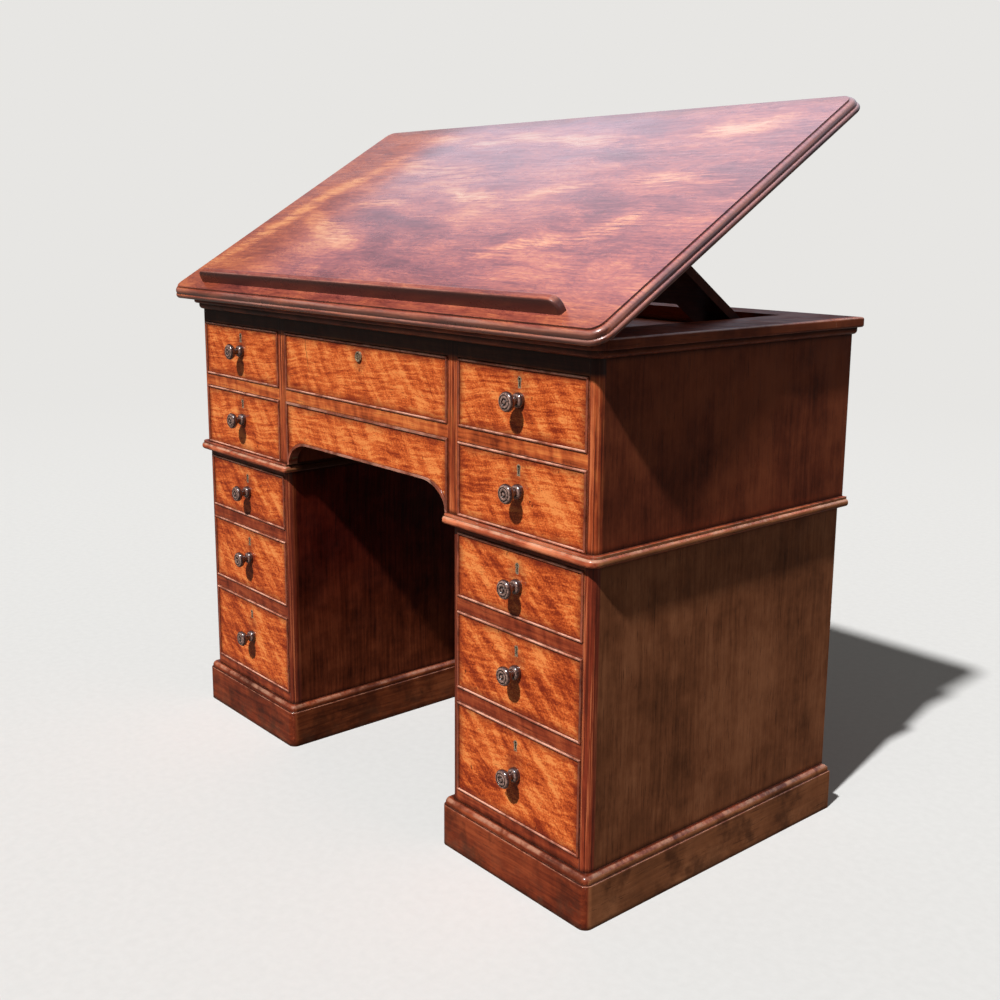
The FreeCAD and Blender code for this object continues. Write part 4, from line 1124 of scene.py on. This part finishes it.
        # Dirt and painted shade in creases.
        wood = sheet.blend(sheet.span(sheet.crease(0.010), 0.35, 0.92, 0.9, 0.0), wood, POLISH_DIRT_AND_SHADE)
        underneath = sheet.span(tilt, -0.2, -0.7)
        wood = sheet.blend(underneath, wood, sheet.ramp(streak, MOULDING_TONES.stops()))
        rough = sheet.span(sheet.streaks(flat, (6.0, 20.0, 8.0), 5.0, 0.65), 0.35, 0.7, 0.24, 0.38)
        rough = sheet.plus(underneath, 0.25, rough)
        relief = sheet.times(sheet.lumps(flat, 6.0, 2.0), 2.0)
        polish = sheet.span(brown, 0.0, 1.0, 0.9, 0.12)
        polish = sheet.times(sheet.most(polish, edge_on), self.gloss)
        return sheet.finish(wood, rough, sheet.plus(pore, -0.2, relief), 0.0004, {
            "Specular IOR Level": 0.5 * self.gloss, "Coat Weight": polish, "Coat Roughness": 0.15,
        })


# Colours of the knobs with their painted highlight, the drawer boxes, and the brass; the knobs' and boxes'
# dark crease colours are dirt and painted shade.
KNOB_STOPS = ((0.32, (0.018, 0.007, 0.006)), (0.55, (0.050, 0.019, 0.016)), (0.75, (0.110, 0.046, 0.036)))
KNOB_WEAR_AND_HIGHLIGHT = (0.74, 0.46, 0.37)
KNOB_DIRT_AND_SHADE = (0.010, 0.004, 0.003)
LINING_STOPS = ((0.3, (0.17, 0.085, 0.036)), (0.5, (0.34, 0.19, 0.085)), (0.7, (0.46, 0.28, 0.135)))
LINING_STAIN = (0.14, 0.075, 0.035)
LINING_DIRT_AND_SHADE = (0.06, 0.032, 0.016)
BRASS_STOPS = ((0.34, (0.28, 0.155, 0.060)), (0.52, (0.62, 0.41, 0.17)), (0.68, (0.90, 0.69, 0.35)))
BRASS_DIRT = (0.03, 0.018, 0.010)
KEYHOLE_STOPS = ((0.36, (0.06, 0.034, 0.02)), (0.52, (0.24, 0.15, 0.08)), (0.66, (0.56, 0.40, 0.24)))
KEYHOLE_RIM = (0.950, 0.830, 0.640)


@dataclass(frozen=True)
class TurnedWood:
    """Dark polished wood of the turned knobs."""

    name: str

    def build(self) -> Material:
        """Make the material.

        Returns:
            The finished material.
        """
        sheet = NodeSheet(self.name)
        grain = sheet.streaks(sheet.here, (420.0, 30.0, 300.0), 4.0, 0.6)
        open_air = sheet.crease(0.004)
        # Painted highlight on the crests of the front rings, and pale wear on the edges.
        in_front = sheet.span(sheet.backwards, -0.55, -0.95, 0.0, 0.8)
        front_ring_highlight = sheet.times(sheet.span(open_air, 0.86, 0.99), in_front)
        pale_highlight = sheet.most(sheet.times(sheet.edge(0.0010), 0.35), front_ring_highlight)
        pale_highlight = sheet.times(pale_highlight, sheet.span(grain, 0.34, 0.62, 0.10, 0.75))
        wood = sheet.blend(pale_highlight, sheet.ramp(grain, KNOB_STOPS), KNOB_WEAR_AND_HIGHLIGHT)
        # Dirt and painted shade in the grooves.
        wood = sheet.blend(sheet.span(open_air, 0.3, 0.85, 0.95, 0.0), wood, KNOB_DIRT_AND_SHADE)
        rough = sheet.span(sheet.lumps(sheet.here, 160.0, 3.0), 0.35, 0.7, 0.16, 0.30)
        return sheet.finish(wood, rough, grain, 0.0001, {
            "Specular IOR Level": 0.6, "Coat Weight": 1.0, "Coat Roughness": 0.06,
        })


@dataclass(frozen=True)
class DrawerLining:
    """Bare planed wood of the drawer boxes."""

    name: str

    def build(self) -> Material:
        """Make the material.

        Returns:
            The finished material.
        """
        sheet = NodeSheet(self.name)
        grain = sheet.streaks(sheet.warped(sheet.here, 4.0, 0.010), (120.0, 5.0, 120.0), 5.0, 0.62)
        stain = sheet.span(sheet.lumps(sheet.here, 9.0, 4.0), 0.45, 0.72, 0.0, 0.5)
        wood = sheet.blend(stain, sheet.ramp(grain, LINING_STOPS), LINING_STAIN)
        # Dirt and painted shade in the box's corners.
        wood = sheet.blend(sheet.span(sheet.crease(0.02), 0.3, 0.9, 0.6, 0.0), wood, LINING_DIRT_AND_SHADE)
        rough = sheet.span(grain, 0.3, 0.7, 0.55, 0.75)
        return sheet.finish(wood, rough, grain, 0.0003, {"Specular IOR Level": 0.25})


@dataclass(frozen=True)
class AgedBrass:
    """Worn brass of the hinges and their screws, darkened in its hollows."""

    name: str

    def build(self) -> Material:
        """Make the material.

        Returns:
            The finished material.
        """
        sheet = NodeSheet(self.name)
        tarnish = sheet.lumps(sheet.here, 150.0, 5.0, 0.65)
        metal = sheet.ramp(tarnish, BRASS_STOPS)
        metal = sheet.blend(sheet.span(sheet.crease(0.003), 0.3, 0.8, 0.7, 0.0), metal, BRASS_DIRT)
        rough = sheet.span(tarnish, 0.3, 0.7, 0.5, 0.24)
        return sheet.finish(metal, rough, tarnish, 0.0001, {"Metallic": 0.45})


@dataclass(frozen=True)
class KeyholeBrass:
    """Brass let in round a keyhole: dark with age inside, and rubbed pale on its rim."""

    name: str

    def build(self) -> Material:
        """Make the material.

        Returns:
            The finished material.
        """
        sheet = NodeSheet(self.name)
        tarnish = sheet.lumps(sheet.here, 420.0, 4.0, 0.65)
        rim = sheet.times(sheet.edge(0.0011), sheet.span(tarnish, 0.36, 0.56, 0.45, 1.0))
        metal = sheet.blend(rim, sheet.ramp(tarnish, KEYHOLE_STOPS), KEYHOLE_RIM)
        rough = sheet.span(tarnish, 0.3, 0.7, 0.45, 0.25)
        return sheet.finish(metal, rough, tarnish, 0.0001, {"Metallic": 0.3})


class Studio:
    """The floor, the light and the camera."""

    camera_ahead = Vector((1.83703, -1.23625, 1.09939))
    yaw = 49.80
    pitch = -10.78
    roll = 0.30
    lens = 43.684
    shift = (0.00873, -0.05241)
    backdrop: Colour = (0.80, 0.79, 0.77)
    key_way = Vector((0.130, -0.600, 0.790))
    key_strength = 4.2
    key_softness = 2.5
    key_distance = 4.0
    fill = 0.16
    sheen: Colour = (0.84, 0.85, 1.00)
    bounce: Colour = (0.10, 0.09, 0.08)
    floor_radius = 14.0
    floor_fade = (2.2, 6.0)
    floor_stops: Stops = ((0.3, (0.68, 0.675, 0.66)), (0.7, (0.71, 0.705, 0.69)))

    def set_camera(self) -> None:
        """Stand the camera where the photograph was taken from."""
        data = bpy.data.cameras.new("desk_camera")
        data.sensor_fit = "HORIZONTAL"
        data.sensor_width = 36.0
        data.lens = self.lens
        data.shift_x, data.shift_y = self.shift
        data.clip_end = 100.0
        camera = bpy.data.objects.new("desk_camera", data)
        bpy.context.scene.collection.objects.link(camera)
        place = self.camera_ahead + Vector((0.0, CASE_FRONT, 0.0))
        turn = Matrix.Rotation(math.radians(self.yaw), 4, "Z")
        turn @= Matrix.Rotation(math.radians(90.0 + self.pitch), 4, "X")
        turn @= Matrix.Rotation(math.radians(self.roll), 4, "Z")
        camera.matrix_world = Matrix.Translation(place) @ turn
        bpy.context.scene.camera = camera

    def set_light(self) -> None:
        """Hang one soft key light, and fill the room evenly."""
        data = bpy.data.lights.new("key_light", "SUN")
        data.energy = self.key_strength
        data.angle = math.radians(self.key_softness)
        lamp = bpy.data.objects.new("key_light", data)
        bpy.context.scene.collection.objects.link(lamp)
        lamp.location = self.key_way * self.key_distance
        lamp.rotation_euler = self.key_way.to_track_quat("Z", "Y").to_euler()
        sheet = NodeSheet("studio", world=True)
        bpy.context.scene.world = sheet.owner
        _, back, up = sheet.split(sheet.place.outputs["Generated"])
        behind = sheet.times(sheet.span(back, 0.10, 0.46, 0.08, 1.0), sheet.span(up, 0.12, 0.45, 0.12, 1.0))
        reflected = sheet.most(behind, sheet.span(up, 0.50, 0.95, 0.0, 0.9))
        fill = sheet.node("ShaderNodeBackground", self.backdrop, self.fill).outputs[0]
        gleam = sheet.node("ShaderNodeBackground", self.sheen, reflected).outputs[0]
        plain = sheet.node("ShaderNodeBackground", self.backdrop, 1.0).outputs[0]
        rays = sheet.node("ShaderNodeLightPath").outputs
        shown = sheet.shade(rays["Is Camera Ray"], sheet.shade(rays["Is Glossy Ray"], fill, gleam), plain)
        sheet.node("ShaderNodeOutputWorld", shown)

    def lay_floor(self) -> None:
        """Lay a plain pale floor that fades into the backdrop."""
        bpy.ops.object.select_all(action="DESELECT")
        bpy.ops.mesh.primitive_circle_add(vertices=96, radius=self.floor_radius, fill_type="NGON")
        floor = bpy.context.object
        floor.name = "studio_floor"
        sheet = NodeSheet("pale_floor")
        seen = sheet.node("ShaderNodeLightPath").outputs["Is Camera Ray"]
        colour = sheet.ramp(sheet.lumps(sheet.here, 60.0, 4.0), self.floor_stops)
        matt = sheet.node("ShaderNodeBsdfDiffuse", sheet.blend(seen, self.bounce, colour))
        far = sheet.node("ShaderNodeEmission", self.backdrop)
        fade = sheet.times(sheet.span(sheet.vector("LENGTH", sheet.here), *self.floor_fade), seen)
        sheet.node("ShaderNodeOutputMaterial", sheet.shade(fade, matt.outputs[0], far.outputs[0]))
        floor.data.materials.append(sheet.owner)

    def build(self) -> None:
        """Set up the whole studio."""
        bpy.context.scene.view_settings.view_transform = "Standard"
        self.set_camera()
        self.set_light()
        self.lay_floor()


def front_size(node: str) -> tuple[float, float, float, float]:
    """Give the size of a front.

    Args:
        node: the front's name.

    Returns:
        Its middle along X and Z, then half its width and half its height.
    """
    low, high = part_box(node)
    return (low.x + high.x) / 2, (low.z + high.z) / 2, (high.x - low.x) / 2, (high.z - low.z) / 2


def middle_of(node: str) -> tuple[float, float]:
    """Give how far a CAD node's middle is from the desk's middle, and how high it is."""
    low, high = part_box(node)
    return abs(low.x + high.x) / 2, (low.z + high.z) / 2


def dress(node: str, material: Material) -> None:
    """Give a CAD node its material.

    Args:
        node: the node's name.
        material: its finish.
    """
    piece = frame["nodes"][node]
    if not piece.material_slots:
        piece.data.materials.append(material)
    for slot in piece.material_slots:
        slot.material = material
    log.info("%s: %s", node, material.name)


@dataclass(frozen=True)
class DrawerFinish:
    """The finishes of one bank of drawers."""

    veneer: Material
    lining: Material
    knob: Material
    brass: Material


@dataclass
class Drawer:
    """One drawer: its front with cock beads, its box, its knob and its lock.

    Attributes:
        name: what its nodes' names start with.
        finish: its finishes.
        has_knob: whether it has a turned knob.
    """

    name: str
    finish: DrawerFinish
    has_knob: bool = True

    def dress(self) -> None:
        """Give each of its pieces a finish."""
        dress(f"{self.name}_front", self.finish.veneer)
        dress(f"{self.name}_box", self.finish.lining)
        dress(f"{self.name}_lock", self.finish.brass)
        if self.has_knob:
            dress(f"{self.name}_knob", self.finish.knob)


@dataclass
class Pedestal:
    """One pedestal: its carcass, its plinth and its drawers.

    Attributes:
        side: which end of the desk it stands at.
        timber: the carcass's finish.
        plinth: the plinth's finish.
        drawer_finish: its drawers' finishes.
        rows: how many drawers it has.
    """

    side: Side
    timber: Material
    plinth: Material
    drawer_finish: DrawerFinish
    rows: int = 3

    def dress(self) -> None:
        """Give each of its pieces a finish."""
        name = f"{self.side.value}_pedestal"
        dress(f"{name}_carcass", self.timber)
        dress(f"{name}_plinth", self.plinth)
        for row in range(1, self.rows + 1):
            Drawer(f"{name}_drawer_{row}", self.drawer_finish).dress()


@dataclass
class UpperCase:
    """The upper case with its apron, mouldings, fixed top and drawers.

    Attributes:
        timber: the carcass's finish.
        waist: the waist moulding's finish.
        moulding: the cornice's and the fixed top's finish.
        drawer_finish: its drawers' finishes.
        rows: how many drawers it has at each end.
    """

    timber: Material
    waist: Material
    moulding: Material
    drawer_finish: DrawerFinish
    rows: int = 2

    def dress(self) -> None:
        """Give each of its pieces a finish."""
        dress("upper_case_carcass", self.timber)
        dress("kneehole_apron", self.drawer_finish.veneer)
        dress("waist_moulding", self.waist)
        dress("cornice_moulding", self.moulding)
        dress("fixed_top", self.moulding)
        Drawer("centre_drawer", self.drawer_finish, has_knob=False).dress()
        for side in Side:
            for row in range(1, self.rows + 1):
                Drawer(f"upper_{side.value}_drawer_{row}", self.drawer_finish).dress()


@dataclass
class WritingSlope:
    """The rising slope with its ledge, its prop, the prop's racks and the hinges.

    Attributes:
        polish: the slope board's finish.
        ledge: the ledge's finish.
        timber: the prop's and the racks' finish.
        brass: the hinges' finish.
    """

    polish: Material
    ledge: Material
    timber: Material
    brass: Material

    def dress(self) -> None:
        """Give each of its pieces a finish."""
        dress("slope_board", self.polish)
        dress("book_ledge", self.ledge)
        for node in ("prop_board", "prop_racks"):
            dress(node, self.timber)
        for node in ("top_hinge_leaves", "top_hinge_pins", "slope_hinge_leaves", "prop_hinge_leaves"):
            dress(node, self.brass)


@dataclass(frozen=True)
class Leaf:
    """The screws of one kind of hinge leaf, with the leaf lying flat.

    Attributes:
        name: what the screws' names start with.
        body: the moving part that they ride.
        hinges: where the hinges are, along X.
        row: how far along X from the hinge's middle each screw is.
        swing: the turn from flat to its place at rest.
        pin: where the hinge pin is, along Y.
        away: how far the screws are from the pin, along Y.
        height: the height of the face that they are let into.
        way: the turn of the screws from facing up.
    """

    name: str
    body: str
    hinges: tuple[float, ...]
    row: tuple[float, ...]
    swing: Matrix
    pin: float
    away: float
    height: float
    way: Matrix


@dataclass
class HingeScrews:
    """The slotted screws that hold the hinge leaves, let in almost flush.

    Attributes:
        brass: their finish.
        head_radius: the radius of a head.
        sunk: how deep a head is let in.
        proud: how far it stands out.
        rim: the width left round its slot.
        slot_width: the slot's width.
        slot_depth: the slot's depth.
        from_pin: how far from the hinge pin the screws are.
        stagger: how much nearer the pin the middle screw is.
        row_of_three: how far along X from the hinge's middle three screws are.
        row_of_two: how far along X from the hinge's middle two screws are.
        slot_turns: how far the slot turns from hinge to hinge and from screw to screw, in degrees.
    """

    brass: Material
    head_radius: float = 0.0036
    sunk: float = 0.0015
    proud: float = 0.00012
    rim: float = 0.0005
    slot_width: float = 0.0009
    slot_depth: float = 0.0007
    from_pin: float = 0.024
    stagger: float = 0.007
    row_of_three: Triple = (-0.022, 0.0, 0.022)
    row_of_two: tuple[float, float] = (-0.011, 0.011)
    slot_turns: tuple[float, float] = (37.0, 61.0)

    def in_slot(self, face: bpy.types.MeshPolygon) -> bool:
        """Tell whether a face of the head is the one that the slot is cut from."""
        near = face.center.xy.length < (self.head_radius - self.rim) / 2
        return face.normal.z > 0.9 and abs(face.center.x) < self.slot_width / 2 and near

    def model(self) -> bpy.types.Object:
        """Model one screw head at the origin, facing up.

        Returns:
            The head.
        """
        bpy.ops.object.select_all(action="DESELECT")
        bpy.ops.mesh.primitive_cylinder_add(
            vertices=32, radius=self.head_radius, depth=self.sunk + self.proud,
            location=(0.0, 0.0, (self.proud - self.sunk) / 2))
        head = bpy.context.object
        bpy.ops.object.transform_apply(location=True, rotation=False, scale=False)
        pick_faces(head, lambda face: face.normal.z > 0.9)
        bpy.ops.object.mode_set(mode="EDIT")
        bpy.ops.mesh.inset(thickness=self.rim, depth=0.0)
        for side in (-0.5, 0.5):
            bpy.ops.mesh.select_all(action="SELECT")
            bpy.ops.mesh.bisect(plane_co=(side * self.slot_width, 0.0, 0.0), plane_no=(1.0, 0.0, 0.0))
        bpy.ops.object.mode_set(mode="OBJECT")
        pick_faces(head, self.in_slot)
        bpy.ops.object.mode_set(mode="EDIT")
        bpy.ops.mesh.extrude_region_move(TRANSFORM_OT_translate={"value": (0.0, 0.0, -self.slot_depth)})
        bpy.ops.object.mode_set(mode="OBJECT")
        return head

    def leaves(self, lift_axis: Vector, fold_axis: Vector) -> tuple[Leaf, ...]:
        """List the leaves that are screwed on.

        Args:
            lift_axis: a point on the slope's hinge axis.
            fold_axis: a point on the prop's hinge axis.

        Returns:
            The leaves.
        """
        level = Matrix()
        face_down = Matrix.Rotation(math.pi, 4, "X")
        lift = turn_about(lift_axis, SLOPE_ANGLE)
        pin = turn_about(lift_axis, -SLOPE_ANGLE) @ fold_axis
        fold = lift @ turn_about(pin, -SLOPE_ANGLE * PROP_RATIO)
        two, three, away = self.row_of_two, self.row_of_three, self.from_pin
        under = lift_axis.z + HINGE_GAP / 2
        top = under - HINGE_GAP
        prop = pin.z + PROP_LEAF_RISE
        return (
            Leaf("top", "carcass", SLOPE_HINGES, three, level, lift_axis.y, away, top, level),
            Leaf("slope", "slope", SLOPE_HINGES, two, lift, lift_axis.y, away, under, face_down),
            Leaf("slope_prop", "slope", PROP_HINGES, three, lift, pin.y, -away, under, face_down),
            Leaf("prop", "prop", PROP_HINGES, three, fold, pin.y, away, prop, level),
        )

    def fit(self, head: bpy.types.Object, name: str, body: str, where: Matrix) -> None:
        """Copy the head to its place on a leaf.

        Args:
            head: the head to copy.
            name: the copy's name.
            body: the moving part that it rides.
            where: its place.
        """
        turned = head.copy()
        turned.data = head.data.copy()
        turned.name = name
        turned.data.transform(where)
        bpy.context.scene.collection.objects.link(turned)
        turned.data.materials.append(self.brass)
        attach(turned, body)
        log.info("%s: rides %s", name, body)

    def build(self, lift_axis: Vector, fold_axis: Vector) -> None:
        """Fit every screw.

        Args:
            lift_axis: a point on the slope's hinge axis.
            fold_axis: a point on the prop's hinge axis.
        """
        head = self.model()
        by_hinge, by_screw = self.slot_turns
        for leaf in self.leaves(lift_axis, fold_axis):
            for hinge, x in enumerate(leaf.hinges, 1):
                for screw, offset in enumerate(leaf.row, 1):
                    slot = Matrix.Rotation(math.radians(by_hinge * hinge + by_screw * screw), 4, "Z")
                    nearer = math.copysign(self.stagger, leaf.away) if offset == 0.0 else 0.0
                    place = Vector((x + offset, leaf.pin + leaf.away - nearer, leaf.height))
                    where = leaf.swing @ Matrix.Translation(place) @ leaf.way @ slot
                    self.fit(head, f"{leaf.name}_hinge_{hinge}_screw_{screw}", leaf.body, where)
        bpy.data.objects.remove(head)


def pick_faces(piece: bpy.types.Object, wanted: Callable[[bpy.types.MeshPolygon], bool]) -> None:
    """Select the faces of a piece that are wanted, and nothing else.

    Args:
        piece: the piece, in object mode.
        wanted: tells whether a face is wanted.
    """
    for edge in piece.data.edges:
        edge.select = False
    for vertex in piece.data.vertices:
        vertex.select = False
    for face in piece.data.polygons:
        face.select = wanted(face)
    bpy.context.tool_settings.mesh_select_mode = (False, False, True)


def turn_about(point: Vector, angle: float) -> Matrix:
    """Give the turn about an axis that runs along X through a point.

    Args:
        point: the point.
        angle: the turn, in radians.

    Returns:
        The turn.
    """
    return Matrix.Translation(point) @ Matrix.Rotation(angle, 4, "X") @ Matrix.Translation(-point)


def main() -> None:
    """Build every finish and piece in order, and report each."""
    logging.basicConfig(level=logging.INFO, format="%(message)s")
    Studio().build()
    lift_axis = Vector(joint_named("slope_hinge")["pos_m"])
    fold_axis = Vector(joint_named("prop_hinge")["pos_m"])
    axis = (lift_axis.y, lift_axis.z)
    brass = AgedBrass("aged_brass").build()
    fittings = (
        DrawerLining("drawer_lining").build(),
        TurnedWood("turned_knob_wood").build(),
        KeyholeBrass("keyhole_brass").build(),
    )
    upper = [f"upper_right_drawer_{row}" for row in range(1, UpperCase.rows + 1)]
    upper_fronts = [*(f"{drawer}_front" for drawer in upper), "centre_drawer_front", "kneehole_apron"]
    upper_handles = [*(f"{drawer}_knob" for drawer in upper), "centre_drawer_lock"]
    upper_veneer = FlameVeneer(
        "flame_veneer_upper", CASE_FRONT, tuple(map(middle_of, upper_handles)),
        tuple(map(front_size, upper_fronts)), ribbon=0.25, depth=-0.026,
        crack=(-0.187, UPPER_VENEER_TOP, 0.068)).build()
    lower = [f"right_pedestal_drawer_{row}" for row in range(1, Pedestal.rows + 1)]
    pedestal_veneer = FlameVeneer(
        "flame_veneer_pedestal", PEDESTAL_FRONT, tuple(middle_of(f"{drawer}_knob") for drawer in lower),
        tuple(front_size(f"{drawer}_front") for drawer in lower), lean=50.0,
        shift=(0.37, 0.0, 0.21), depth=-0.010).build()
    pedestal_wood = CarcassTimber(
        "pedestal_timber", PEDESTAL_TONES, PEDESTAL_SIDE_TONES, PEDESTAL_POSTS, edge_wear_and_highlight=0.3,
        kneehole_shade_reach=KNEEHOLE_REACH, post_back=PEDESTAL_FRONT + POST_DEPTH).build()
    plinth_wood = CarcassTimber(
        "plinth_timber", PLINTH_TONES, PLINTH_SIDE_TONES, lying_sides=True, edge_wear_and_highlight=0.55,
        scuffed=True, kneehole_shade_reach=INNER_POST_REACH).build()
    for side in Side:
        Pedestal(side, pedestal_wood, plinth_wood, DrawerFinish(pedestal_veneer, *fittings)).dress()
    case_wood = CarcassTimber(
        "case_timber", CASE_TONES, CASE_SIDE_TONES, CASE_POSTS, edge_wear_and_highlight=0.3,
        post_back=CASE_FRONT + POST_DEPTH, painted_shadow_top=UPPER_VENEER_TOP).build()
    waist_wood = CarcassTimber(
        "waist_timber", WAIST_TONES, PLINTH_SIDE_TONES, lying_sides=True, edge_wear_and_highlight=0.9,
        shaded=KNEEHOLE_REACH).build()
    moulding_wood = CarcassTimber(
        "moulding_timber", MOULDING_TONES, CASE_SIDE_TONES, lying_sides=True, edge_wear_and_highlight=0.5).build()
    UpperCase(case_wood, waist_wood, moulding_wood, DrawerFinish(upper_veneer, *fittings)).dress()
    slope_polish = SlopePolish("slope_polish", axis).build()
    ledge_polish = SlopePolish("ledge_polish", axis, darker=0.15, gloss=0.45).build()
    # The prop's very dark timber is painted shade for the slope's shadow.
    prop_wood = CarcassTimber("prop_timber", PROP_SHADE_TONES, PROP_SHADE_TONES).build()
    WritingSlope(slope_polish, ledge_polish, prop_wood, brass).dress()
    HingeScrews(brass).build(lift_axis, fold_axis)


if __name__ == "__main__":
    main()
